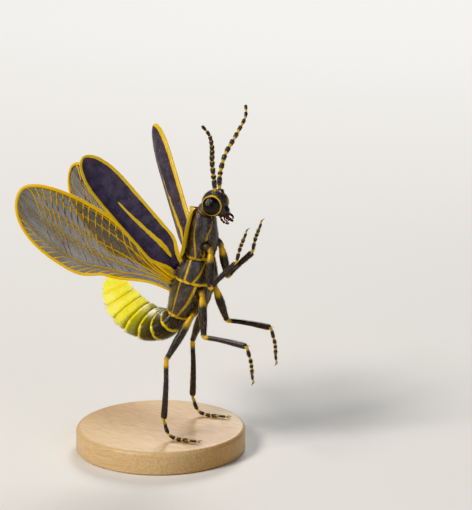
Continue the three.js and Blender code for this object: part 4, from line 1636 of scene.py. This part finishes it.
    def eyes(self) -> list[Piece]:
        """The two compound eyes, each a dome of small lenses."""
        lenses = bmesh.new()
        bmesh.ops.create_icosphere(lenses, subdivisions=5, radius=1.0)
        tree = KDTree(len(lenses.verts))
        for index, corner in enumerate(lenses.verts):
            tree.insert(corner.co.normalized(), index)
        tree.balance()
        lens_radius = 0.6 * min(edge.calc_length() for edge in lenses.edges)
        lenses.free()
        form = bmesh.new()
        bmesh.ops.create_icosphere(form, subdivisions=7, radius=1.0)
        for corner in form.verts:
            way = corner.co.normalized()
            gap = min(1.0, tree.find(way)[2] / lens_radius)
            corner.co = way * (1 + self.lens_height / self.eye_radius * (1 - gap * gap))
        geometry = [*form.verts, *form.edges, *form.faces]
        bmesh.ops.bisect_plane(form, geom=geometry, plane_co=(0, 0.15, 0), plane_no=(0, 1, 0),
                               clear_outer=True)
        bmesh.ops.remove_doubles(form, verts=form.verts, dist=1e-3)
        bmesh.ops.edgeloop_fill(form, edges=[edge for edge in form.edges if edge.is_boundary])
        bulge = (self.eye_radius, self.eye_bulge, self.eye_radius)
        bmesh.ops.scale(form, vec=bulge, verts=form.verts)
        bmesh.ops.translate(form, vec=self.eye, verts=form.verts)
        return set_pair("compound_eye", form, EYE, Slot.EYE, "eye")

    def mouth(self) -> Piece:
        """The jaws, and the jointed feelers beside and below them."""
        start = self.muzzle
        forms = []
        for sign in (-1, 1):
            def along(points: Sequence[tuple[float, float, float]]) -> Course:
                """A course from the muzzle, on one side."""
                return Course([start + Vector((x, sign * y, z)) for x, y, z in points])

            jaw = along([(0.1, 0.26, -0.16), (0.42, 0.34, -0.28), (0.6, 0.24, -0.42),
                         (0.64, 0.02, -0.5)])
            blade = rod(lambda share: 0.13 * (1 - share) ** 0.6 + 0.008, 0.75)
            marks = {"rim": lambda turn, share: smooth(0.6, 1.0, share)}
            forms.append(limb(jaw, blade, 16, round_stops(28), marks))
            palp = along([(-0.1, 0.34, -0.25), (0.05, 0.44, -0.5), (0.3, 0.46, -0.68),
                          (0.56, 0.4, -0.7)])
            forms += self.feeler(palp, [0.7, 1.0, 0.8, 1.3], 0.085)
            inner = along([(0.1, 0.13, -0.34), (0.16, 0.17, -0.52), (0.36, 0.16, -0.66)])
            forms += self.feeler(inner, [0.8, 0.9, 1.1], 0.06)
        return set_down("mouthparts", joined(forms), JAW, Slot.SHELL)

    @staticmethod
    def feeler(course: Course, lengths: Sequence[float], radius: float) -> list[Form]:
        """The joints of a feeler, each swelling to its end, the last one blunt.

        Args:
            course: The line that it follows.
            lengths: The joints' lengths as shares.
            radius: Half its thickness.

        Returns:
            A form for each joint.
        """
        total, start, forms = sum(lengths), 0.0, []
        for length in lengths:
            end = start + length / total
            piece = course.part(start, end, (0, 0.5, 1))
            shape = rod(lambda share: radius * dome(share, 0.3) * lerp(0.62, 1.05, share) + 0.004)
            forms.append(limb(piece, shape, 14, round_stops(14), {"rim": level(0.0)}))
            start = end
        return forms

    def build(self) -> list[Piece]:
        """Makes the head's pieces and the hairs on it."""
        capsule, mouth = self.capsule(), self.mouth()
        return [capsule, mouth, *self.eyes(), HEAD_COAT.grow("coat_head", [capsule], Slot.SHELL)]


@dataclass(frozen=True)
class Antenna:
    """A thread of eleven joints that leans forwards and out, with its tip bent back."""

    thick: float = 0.36
    tip: float = 0.2
    joints: tuple[float, ...] = (1.4, 0.6, *(1.0,) * 9)
    course: Course = field(default_factory=lambda: course_through(
        (1.1, -0.42, 16.55), (1.05, -0.5, 17.4), (1.15, -1.15, 18.8), (1.6, -2.4, 20.2),
        (1.8, -3.5, 21.2), (1.5, -4.3, 22.0)))

    def form(self) -> Form:
        """All the joints of one antenna."""
        total, start, forms = sum(self.joints), 0.02, []
        for index, length in enumerate(self.joints):
            end = min(1.0, start + length / total)
            radius = lerp(self.thick, self.tip, smooth(0.3, 1, start)) / 2
            piece = self.course.part(start, end, JOINT_SHARES)

            def radius_at(share: float, radius: float = radius) -> float:
                """A joint's half thickness: a narrow root that swells to a rounded end."""
                return radius * (lerp(0.55, 1.0, smooth(0, 0.7, share)) * dome(share, 0.14)) + 0.003

            marks = {"amber": lambda turn, share: 1.0 - smooth(0.25, 0.5, share),
                     HAIR_MARK: level(1.0)}
            cell = (index / len(self.joints), (index + 1) / len(self.joints))
            forms.append(limb(piece, rod(radius_at, 0.9), 24, round_stops(22), marks, cell))
            start = end - 0.006
        return joined(forms)

    def build(self) -> list[Piece]:
        """Makes both antennae and the hairs on them."""
        pair = set_pair("feeler", self.form(), LIMB, Slot.LEG, "antenna")
        coats = [LIMB_COAT.grow(f"coat_{piece.name}", [piece], Slot.LEG) for piece in pair]
        return pair + coats


class WingAxes:
    """A wing's own directions: along it, across it from its front edge, and out of its face."""

    def __init__(self, root: Vector, run: Vector) -> None:
        """Works the directions out.

        Args:
            root: Where it leaves the body.
            run: The way that it points.
        """
        self.root = root
        self.span = run.normalized()
        self.chord = (-UP + self.span * self.span.z).normalized()
        self.face = self.span.cross(self.chord)


@dataclass(frozen=True)
class WingCase:
    """An elytron: long, even in width, round at the tip, thin, with beaded edges and low ribs."""

    length: float = 10.4
    width: float = 2.4
    wall: float = 0.16
    bead: float = 0.07
    edge: float = 0.2
    arch: float = 0.42
    hinge: float = 0.42
    sunk: float = 0.035
    shoulder: float = 0.2
    rounding: float = 0.66
    axes: WingAxes = field(default_factory=lambda: WingAxes(
        Vector((-1.15, -1.45, 11.65)), Vector((-0.45, -0.45, 0.77))))

    @staticmethod
    def across(turn: float) -> float:
        """Place across the case, from -1 at its front edge to 1, at a turn round its section."""
        return -math.cos(turn * math.tau)

    def place(self, turn: float, share: float) -> Vector:
        """A place on the case."""
        axes, across = self.axes, self.across(turn)
        rounding = rounded_end(share, self.rounding, 0.02)
        side = math.sin(turn * math.tau)
        edge = smooth(0.86, 0.95, abs(across))
        ribs = sum(bell(across, middle, 0.035) for middle in (-0.45, 0.0, 0.45))
        ribs = ribs * (1 - smooth(0.7, 0.95, share))
        half = (self.wall / 2 + self.bead / 2 * edge) * abs(side) ** 0.5
        half += 0.035 * ribs * (1 if side < 0 else 0.6)
        callus = 0.16 * bell(share, 0.1, 0.06) * bell(across, -0.35, 0.3)
        arch = self.arch * rounding * (1 - across * across) + callus
        return (axes.root + axes.span * self.length * share
                + axes.chord * (self.half_width(share) * across)
                - axes.face * (arch - math.copysign(half, side)))

    def half_width(self, share: float) -> float:
        """Half the case's width at a share of its length, round where it is sunk in the body."""
        root = max(0.1, dome(min(0.5, share + self.sunk), 0.05))
        opening = lerp(self.hinge, 1, smooth(0, self.shoulder, share)) * root
        return self.width / 2 * opening * rounded_end(share, self.rounding, 0.02)

    def pale(self, turn: float, share: float) -> float:
        """1 on the pale edges and on the stripe that runs back from the shoulder."""
        across, step = self.across(turn), 0.004
        wider = self.half_width(min(1.0, share + step)) - self.half_width(share - step)
        slope = wider / (2 * step * self.length)
        inset = (1 - abs(across)) * self.half_width(share) / math.hypot(1, slope)
        edge = 1 - smooth(self.edge - 0.08, self.edge + 0.08, inset)
        middle = lerp(-0.25, 0.1, smooth(0.05, 0.6, share))
        stripe = bell(across, middle, lerp(0.17, 0.07, smooth(0.1, 0.6, share)))
        stripe *= smooth(0.03, 0.1, share) * (1 - smooth(0.5, 0.72, share))
        return min(1.0, edge + stripe)

    def form(self) -> Form:
        """One wing case."""
        def hairy(turn: float, share: float) -> float:
            """1 on the upper face, little on the other one, and 0 on the hinge."""
            return (1.0 if math.sin(turn * math.tau) < -0.1 else 0.12) * smooth(0.0, 0.03, share)

        stops = [lerp(-self.sunk, 1, stop) for stop in tip_stops(130)]
        return swept(self.place, 120, stops, {"pale": self.pale, HAIR_MARK: hairy})

    def hinges(self) -> Form:
        """The plates at the shoulder that the case turns on."""
        axes = self.axes
        return joined([
            lump(axes.root - axes.span * 0.2 - axes.chord * 0.36, (0.17, 0.2, 0.3), axes.span),
            lump(axes.root - axes.span * 0.22, (0.3, 0.16, 0.32), axes.span),
            lump(axes.root - axes.span * 0.24 + axes.chord * 0.36, (0.15, 0.16, 0.3), axes.span)])

    def build(self) -> list[Piece]:
        """Makes both wing cases and the hairs on them."""
        pair = set_pair("wing_case", self.form(), CASE, Slot.ELYTRON, "elytron")
        coats = [CASE_COAT.grow(f"coat_{piece.name}", [piece], Slot.ELYTRON) for piece in pair]
        return pair + coats + set_pair("case_hinge", self.hinges(), SHELL, Slot.SHELL)


@dataclass(frozen=True)
class HindWing:
    """A flight wing: a pleated clear membrane held open by its veins."""

    length: float = 11.8
    width: float = 4.5
    film: float = 0.03
    camber: float = 0.3
    sunk: float = 0.05
    slant: float = 0.55
    hinge: float = 0.2
    full: float = 0.55
    leading: float = 0.36
    notch: float = 0.36
    notch_reach: float = 0.06
    notch_depth: float = 0.07
    pleat: float = 0.07
    main_veins: tuple[float, ...] = (0.05, 0.2, 0.42, 0.62, 0.83)
    vein_end: float = 0.985
    branch_count: int = 17
    seed: int = 5
    axes: WingAxes = field(default_factory=lambda: WingAxes(
        Vector((-1.8, -0.8, 10.45)), Vector((-0.8, -0.28, 0.52))))

    def middle(self, across: float, along: float) -> Vector:
        """A place on the wing's middle surface.

        Args:
            across: Share of the chord from the front edge.
            along: Share of the length from the root.

        Returns:
            The place.
        """
        axes = self.axes
        opening = lerp(self.hinge, 1, smooth(0, self.full, along))
        opening *= rounded_end(along, self.full, 0.02)
        chord = self.width * opening
        fold = bell(along, self.notch, self.notch_reach)
        notched = across * (1 - self.notch_depth * smooth(0.6, 1, across) * fold)
        nearest = min(abs(across - vein) for vein in self.main_veins)
        dip = self.pleat * smooth(0, 0.1, nearest) * opening * (1 - smooth(0.8, 1, along))
        bow = self.camber * math.sin(math.pi * min(1.0, max(0.0, across))) * opening
        inwards = self.slant * across * (1 - smooth(0.0, 0.12, along))
        return (axes.root + axes.span * (self.length * along - inwards)
                + axes.chord * (chord * (notched - self.leading))
                - axes.face * (bow - dip))

    def membrane(self) -> Form:
        """The clear film, with both of its faces."""
        def place(turn: float, share: float) -> Vector:
            """A place on the film."""
            across = (1 - math.cos(turn * math.tau)) / 2
            side = math.sin(turn * math.tau)
            half = self.film / 2 * abs(side) ** 0.3
            return self.middle(across, share) + self.axes.face * math.copysign(half, side)

        def dusk(turn: float, share: float) -> float:
            """How smoky the film is: more to the tip and along the veins."""
            across = (1 - math.cos(turn * math.tau)) / 2
            beside = max(bell(across, vein, 0.035) for vein in self.main_veins)
            return 0.35 + 0.35 * smooth(0.4, 1.0, share) + 0.3 * beside

        return swept(place, 140, self.along_stops(150), {"dusk": dusk})

    def along_stops(self, count: int) -> list[float]:
        """Shares of the length from inside the body to the tip, closer together at the tip."""
        return [lerp(-self.sunk, 1, stop) for stop in tip_stops(count)]

    def vein(
        self, chart: Sequence[tuple[float, float]], thick: tuple[float, float],
        gold: tuple[float, float], rows: int, sides: int,
    ) -> Form:
        """A vein that follows the wing.

        Args:
            chart: Its points, each a share across and a share along.
            thick: Its thickness where it starts and where it ends.
            gold: How golden it is where it starts and where it ends.
            rows: Steps along it.
            sides: Corners round it.

        Returns:
            The form.
        """
        course = Course([self.middle(*spot) for spot in chart])
        shape = rod(lambda share: lerp(*thick, share) / 2)
        marks = {"gold": lambda turn, share: lerp(*gold, share)}
        return limb(course, shape, sides, even_stops(rows), marks)

    def veins(self) -> Form:
        """The frame, the long veins and the branches between them."""
        shares = self.along_stops(30)
        edge = [(0.0, share) for share in shares] + [(1.0, share) for share in shares[-2::-1]]
        forms = [self.vein(edge, (0.27, 0.16), (1.0, 1.0), 300, 10)]
        for vein, thick in zip(self.main_veins, (0.17, 0.14, 0.13, 0.12, 0.1)):
            start = 0.5 + 0.5 * (vein - 0.5)
            line = [(lerp(start, vein, smooth(0, 0.3, share)), share)
                    for share in shares if share < self.vein_end]
            forms.append(self.vein(line, (thick, 0.055), (0.75, 0.2), 120, 8))
        draw = np.random.default_rng(self.seed)
        inner = self.main_veins[-1]
        forms += self.branches(draw, 0.0, inner, 0.3, 0.27)
        return joined(forms + self.branches(draw, 1.0, inner, 0.16, 0.1))

    def branches(
        self, draw: np.random.Generator, shore: float, inner: float, first: float, lean: float,
    ) -> list[Form]:
        """Slanting veins that leave a long vein and meet an edge, where they are thick and golden.

        Args:
            draw: The random draw.
            shore: Where the edge lies across the wing.
            inner: Where the long vein lies.
            first: Share of the length where the first one meets the edge.
            lean: How far back along the wing the branches start.

        Returns:
            A form for each.
        """
        forms = []
        for index in range(self.branch_count):
            spread = (index / (self.branch_count - 1)) ** 0.9
            along = lerp(first, self.vein_end, spread) + draw.uniform(-0.006, 0.006)
            reach = min(1.0, (along - 0.12) / (lean + 0.12)) * draw.uniform(0.9, 1.0)
            deep = lerp(shore, inner, reach)
            line = [(shore, along), (lerp(shore, deep, 0.28), along - 0.16 * lean),
                    (lerp(shore, deep, 0.64), along - 0.5 * lean), (deep, along - lean)]
            forms.append(self.vein(line, (0.1, 0.045), (1.0, 0.1), 26, 6))
        return forms

    def hinges(self) -> Form:
        """The small plates that the wing turns on, half sunk in the flank."""
        axes = self.axes
        plates = ((-0.32, (0.17, 0.19, 0.34)), (-0.02, (0.19, 0.15, 0.38)), (0.3, (0.2, 0.13, 0.3)))
        middles = [axes.root + axes.chord * across - axes.span * 0.14 for across, _ in plates]
        return joined([lump(spot, half, axes.span) for spot, (_, half) in zip(middles, plates)])

    def build(self) -> list[Piece]:
        """Makes both wings, each a membrane and its veins."""
        films = set_pair("wing_film", self.membrane(), FILM, Slot.WING, "hind_wing")
        veins = set_pair("wing_veins", self.veins(), VEINS, Slot.WING)
        return films + veins + set_pair("wing_hinge", self.hinges(), SHELL, Slot.SHELL)


@dataclass(frozen=True)
class Leg:
    """A leg: hip, thigh, shin with its spurs, five toe joints and two claws."""

    pose: LegPose
    hip_radius: float = 0.42
    thigh_radius: float = 0.32
    knee_radius: float = 0.21
    shin_radius: float = 0.2
    toe_radius: float = 0.15
    toe_joints: tuple[float, ...] = (1.7, 0.95, 0.75, 0.7, 1.2)

    def femur(self) -> Form:
        """The hip joint, the small ring after it and the thigh."""
        pose = self.pose
        hip_end = pose.hip + (pose.hip - pose.root).normalized() * 0.1
        hip = Course([pose.root, pose.root.lerp(hip_end, 0.5), hip_end])
        dark = {"amber": lambda turn, share: 0.1 + 0.5 * smooth(0.8, 1.0, share),
                HAIR_MARK: level(1.0)}
        cone = rod(lambda share: self.hip_radius * lerp(1.0, 0.62, share**1.5) * dome(share, 0.25)
                   + 0.004, 0.85)
        forms = [limb(hip, cone, 36, round_stops(30), dark, (0.0, 0.3))]
        way = (pose.knee - pose.hip).normalized()
        ring = Course([pose.hip + way * along for along in (-0.14, 0.15, 0.44)])
        amber = {"amber": lambda turn, share: 0.35 + 0.4 * share, HAIR_MARK: level(0.8)}
        bead = rod(lambda share: 0.215 * dome(share, 0.5) + 0.004, 0.85)
        forms.append(limb(ring, bead, 28, round_stops(16), amber, (0.3, 0.45)))
        halfway = pose.hip.lerp(pose.knee, 0.5)
        thigh = Course([pose.hip + way * 0.22, halfway, pose.knee + way * 0.06])

        def radius_at(share: float) -> float:
            """Half thickness of the thigh: a spindle with a rounded knee."""
            swell = lerp(0.62, 1.0, smooth(0, 0.35, share))
            swell *= lerp(1.0, 0.66, smooth(0.5, 0.95, share))
            return self.thigh_radius * swell * dome(share, 0.07) + 0.003

        def amber_at(turn: float, share: float) -> float:
            """Amber at both ends, where the cuticle is thin."""
            return max(0.95 - smooth(0.1, 0.4, share), 0.9 * smooth(0.9, 0.97, share))

        marks = {"amber": amber_at, HAIR_MARK: level(1.0)}
        forms.append(limb(thigh, rod(radius_at, 0.82), 36, round_stops(54), marks, (0.45, 1.0)))
        return joined(forms)

    def tibia(self) -> Form:
        """The shin, a little bowed and wider at its end, and its two spurs."""
        pose = self.pose
        way = (pose.ankle - pose.knee).normalized()
        bow = way.cross(LEFT).normalized() * 0.06
        shin = Course([pose.knee - way * 0.08, pose.knee.lerp(pose.ankle, 0.4) + bow, pose.ankle])

        def shape(turn: float, share: float) -> tuple[float, float]:
            """A section with a shallow groove along each side."""
            angle = turn * math.tau
            widen = lerp(0.78, 1.08, smooth(0.1, 1, share))
            radius = self.shin_radius * widen * dome(share, 0.06) + 0.003
            beside = bell(turn, 0.25, 0.05) + bell(turn, 0.75, 0.05)
            groove = 1 - 0.12 * beside * smooth(0.1, 0.3, share)
            return radius * math.cos(angle) * 0.9 * groove, radius * math.sin(angle) * groove

        marks = {"amber": lambda turn, share: 1.0 - smooth(0.05, 0.2, share),
                 HAIR_MARK: lambda turn, share: 1.3 * smooth(0.0, 0.1, share)}
        forms = [limb(shin, shape, 32, round_stops(56), marks)]
        across = shin.axes(1.0)[0]
        thorn = rod(lambda share: 0.045 * (1 - share) + 0.003)
        bare = {"amber": level(0.9), HAIR_MARK: level(0.0)}
        for sign in (-1, 1):
            root = pose.ankle - way * 0.1 + across * sign * 0.12
            spur = Course([root, root + way * 0.16 + across * sign * 0.06,
                           root + way * 0.34 + across * sign * 0.07])
            forms.append(limb(spur, thorn, 10, even_stops(10), bare))
        return joined(forms)

    def tarsus(self) -> Form:
        """Five toe joints, the fourth of two broad lobes, and two hooked claws."""
        pose = self.pose
        line = Course([pose.ankle, *pose.toes])
        total, start, forms = sum(self.toe_joints), 0.0, []
        last = len(self.toe_joints) - 1
        for index, length in enumerate(self.toe_joints):
            end = start + length / total
            piece = line.part(start - 0.01, end, JOINT_SHARES)
            slim = 0.72 if index == last else 1.0

            def radius_at(share: float, slim: float = slim) -> float:
                """Half thickness of a toe joint, widest towards its end."""
                widen = lerp(0.6, 1.0, smooth(0, 0.75, share))
                return self.toe_radius * slim * widen * dome(share, 0.16) + 0.003

            marks = {"amber": lambda turn, share: 0.95 * (1 - smooth(0.2, 0.5, share)),
                     HAIR_MARK: level(1.2)}
            cell = (index / (last + 1), (index + 1) / (last + 1))
            forms.append(limb(piece, rod(radius_at, 0.8), 24, round_stops(20), marks, cell))
            if index == last - 1:
                forms += self.lobes(line, lerp(start, end, 0.7))
            start = end
        return joined(forms + self.claws(line))

    def lobes(self, line: Course, at: float) -> list[Form]:
        """The two pads of the fourth toe joint."""
        across, way = line.axes(at)[0], line.way(at)
        cushion = rod(lambda share: 0.11 * dome(share, 0.45) + 0.004, 0.5)
        marks = {"amber": level(0.3), HAIR_MARK: level(1.0)}
        forms = []
        for sign in (-1, 1):
            root = line.at(at) + across * sign * 0.05
            pad = Course([root, root + way * 0.14 + across * sign * 0.07,
                          root + way * 0.26 + across * sign * 0.12])
            forms.append(limb(pad, cushion, 16, round_stops(14), marks))
        return forms

    @staticmethod
    def claws(line: Course) -> list[Form]:
        """The two hooked claws at the end of the last toe joint."""
        way, root = line.way(1.0), line.at(0.985)
        across, over = line.axes(1.0)
        point = rod(lambda share: 0.05 * (1 - share) ** 0.7 + 0.003)
        marks = {"amber": lambda turn, share: 1 - smooth(0.2, 0.6, share), HAIR_MARK: level(0.0)}
        forms = []
        for sign in (-1, 1):
            hook = Course([root, root + way * 0.16 + across * sign * 0.1 + over * 0.03,
                           root + way * 0.32 + across * sign * 0.17,
                           root + way * 0.4 + across * sign * 0.18 - over * 0.1])
            forms.append(limb(hook, point, 12, even_stops(18), marks))
        return forms

    def build(self) -> list[Piece]:
        """Makes the leg on both sides, and the hairs on it."""
        word = self.pose.word
        shapes = {"femur": self.femur(), "tibia": self.tibia(), "tarsus": self.tarsus()}
        pairs = [set_pair(f"{word}_{part}", form, LIMB, Slot.LEG, f"{word}_leg_{part}")
                 for part, form in shapes.items()]
        coats = [LIMB_COAT.grow(f"coat_{word}_leg_{side.word}", pieces, Slot.LEG)
                 for side, pieces in zip(Side, map(list, zip(*pairs)))]
        return [*(piece for pair in pairs for piece in pair), *coats]


@dataclass(frozen=True)
class Base:
    """A turned wooden base: a plain round plate with softly rounded edges."""

    radius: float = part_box("stand_base")[1].x / MM
    height: float = BASE_TOP
    rounding: float = 0.3
    foot: float = 0.12
    steps: int = 160

    def build(self) -> list[Piece]:
        """Makes the base by spinning its outline."""
        form = bmesh.new()
        outline = [(0.0, 0.0), (self.radius - self.foot, 0.0), (self.radius, self.foot)]
        for share in even_stops(8):
            angle = share * math.pi / 2
            outline.append((self.radius - self.rounding * (1 - math.cos(angle)),
                            self.height - self.rounding * (1 - math.sin(angle))))
        outline.append((0.0, self.height))
        corners = [form.verts.new((x, 0, z)) for x, z in outline]
        edges = [form.edges.new(pair) for pair in zip(corners, corners[1:])]
        bmesh.ops.spin(form, geom=corners + edges, cent=(0, 0, 0), axis=(0, 0, 1), angle=math.tau,
                       steps=self.steps, use_merge=True, use_duplicate=False)
        bmesh.ops.remove_doubles(form, verts=form.verts, dist=1e-5)
        bmesh.ops.translate(form, vec=(-BODY_FORWARD, 0, -BASE_TOP), verts=form.verts)
        piece = set_down("wooden_base", form, MAPLE, Slot.BASE, ["stand_base"])
        piece.data.set_sharp_from_angle(angle=math.radians(40))
        return [piece]


@dataclass(frozen=True)
class Studio:
    """Pale paper floor, soft lights and the camera."""

    azimuth: float = 20.0
    elevation: float = 14.0
    frame_height: float = 34.7
    aim_right: float = 2.244
    aim_up: float = 11.9
    lens: float = 150.0
    sensor: float = 36.0
    floor: float = 0.7
    lamp_aim: float = 0.012
    sky: str = "eceef2"
    sky_light: float = 0.15
    sky_seen: float = 0.85
    view_transform: str = "Khronos PBR Neutral"

    @staticmethod
    def aimed(name: str, data: bpy.types.ID, place: Vector, back: Vector) -> Piece:
        """A camera or light at a place, with its back turned one way.

        Args:
            name: Its name.
            data: What it is.
            place: Where it stands, in metres.
            back: The way opposite to the one that it faces.

        Returns:
            The object.
        """
        made = put(name, data)
        made.location = place
        made.rotation_mode = "QUATERNION"
        made.rotation_quaternion = back.to_track_quat("Z", "Y")
        return made

    def camera(self) -> Piece:
        """The camera, aimed so that the frame holds the animal where the picture has it."""
        turn, rise = math.radians(self.azimuth), math.radians(self.elevation)
        flat = math.cos(rise)
        back = Vector((math.sin(turn) * flat, -math.cos(turn) * flat, math.sin(rise)))
        right = Vector((math.cos(turn), math.sin(turn), 0))
        up = back.cross(right)
        aim = TO_ROW @ (right * self.aim_right + up * self.aim_up)
        distance = self.frame_height * MM * self.lens / self.sensor
        data = bpy.data.cameras.new("studio_camera")
        data.lens, data.sensor_width = self.lens, self.sensor
        data.clip_start, data.clip_end = 0.005, 10
        camera = self.aimed("studio_camera", data, aim + back * distance, back)
        bpy.context.scene.camera = camera
        return camera

    def light(
        self, name: str, place: tuple[float, float, float], size: float, power: float, colour: str,
    ) -> None:
        """A soft box aimed at the animal.

        Args:
            name: The light's name.
            place: Where it stands, in metres.
            size: Width of its square face, in metres.
            power: Its power in watts.
            colour: Its colour as a hex code.
        """
        data = bpy.data.lights.new(name, "AREA")
        data.size, data.energy, data.color = size, power, linear(colour)[:3]
        self.aimed(name, data, Vector(place), Vector(place) - Vector((0, 0, self.lamp_aim)))

    def build(self) -> None:
        """Sets up the floor, the lights, the surrounding light and the camera."""
        form = bmesh.new()
        bmesh.ops.create_grid(form, x_segments=1, y_segments=1, size=self.floor)
        mesh = bpy.data.meshes.new("studio_floor")
        form.to_mesh(mesh)
        form.free()
        mesh.materials.append(PAPER.material())
        floor = put("studio_floor", mesh)
        floor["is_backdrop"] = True
        self.light("key_box", (-0.14, -0.19, 0.24), 0.1, 0.95, "fff6ec")
        self.light("fill_box", (0.26, -0.14, 0.12), 0.2, 0.24, "f0f4ff")
        self.light("rim_box", (-0.05, 0.26, 0.2), 0.12, 0.6, "ffffff")
        world = bpy.data.worlds.new("studio_light")
        world.use_nodes = True
        world.node_tree.nodes.clear()
        seen = add_node(world.node_tree, "ShaderNodeLightPath", {}).outputs["Is Camera Ray"]
        power = add_node(world.node_tree, "ShaderNodeMapRange", {
            "Value": seen, "To Min": self.sky_light, "To Max": self.sky_seen})
        sky = add_node(world.node_tree, "ShaderNodeBackground", {
            "Color": linear(self.sky), "Strength": power.outputs["Result"]})
        add_node(world.node_tree, "ShaderNodeOutputWorld", {"Surface": sky.outputs[0]})
        bpy.context.scene.world = world
        bpy.context.scene.view_settings.view_transform = self.view_transform
        self.camera()


def corners(box: tuple[Vector, Vector]) -> list[list[float]]:
    """A box's two corners as plain numbers."""
    return [[float(value) for value in corner] for corner in box]


def main() -> None:
    """Builds the firefly, its base and the studio, and works out both boxes without keeping them.
    """
    logging.basicConfig(level=logging.INFO, format="%(message)s")
    parts = [Base(), Trunk(), Shield(), Head(), Antenna(), WingCase(), HindWing(), *map(Leg, POSES)]
    for part in parts:
        pieces = part.build()
        LOG.info("%s: %d pieces", type(part).__name__, len(pieces))
    Studio().build()
    {"cad": corners(CAD_BOX), "visual": corners(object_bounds())}


if __name__ == "__main__":
    main()
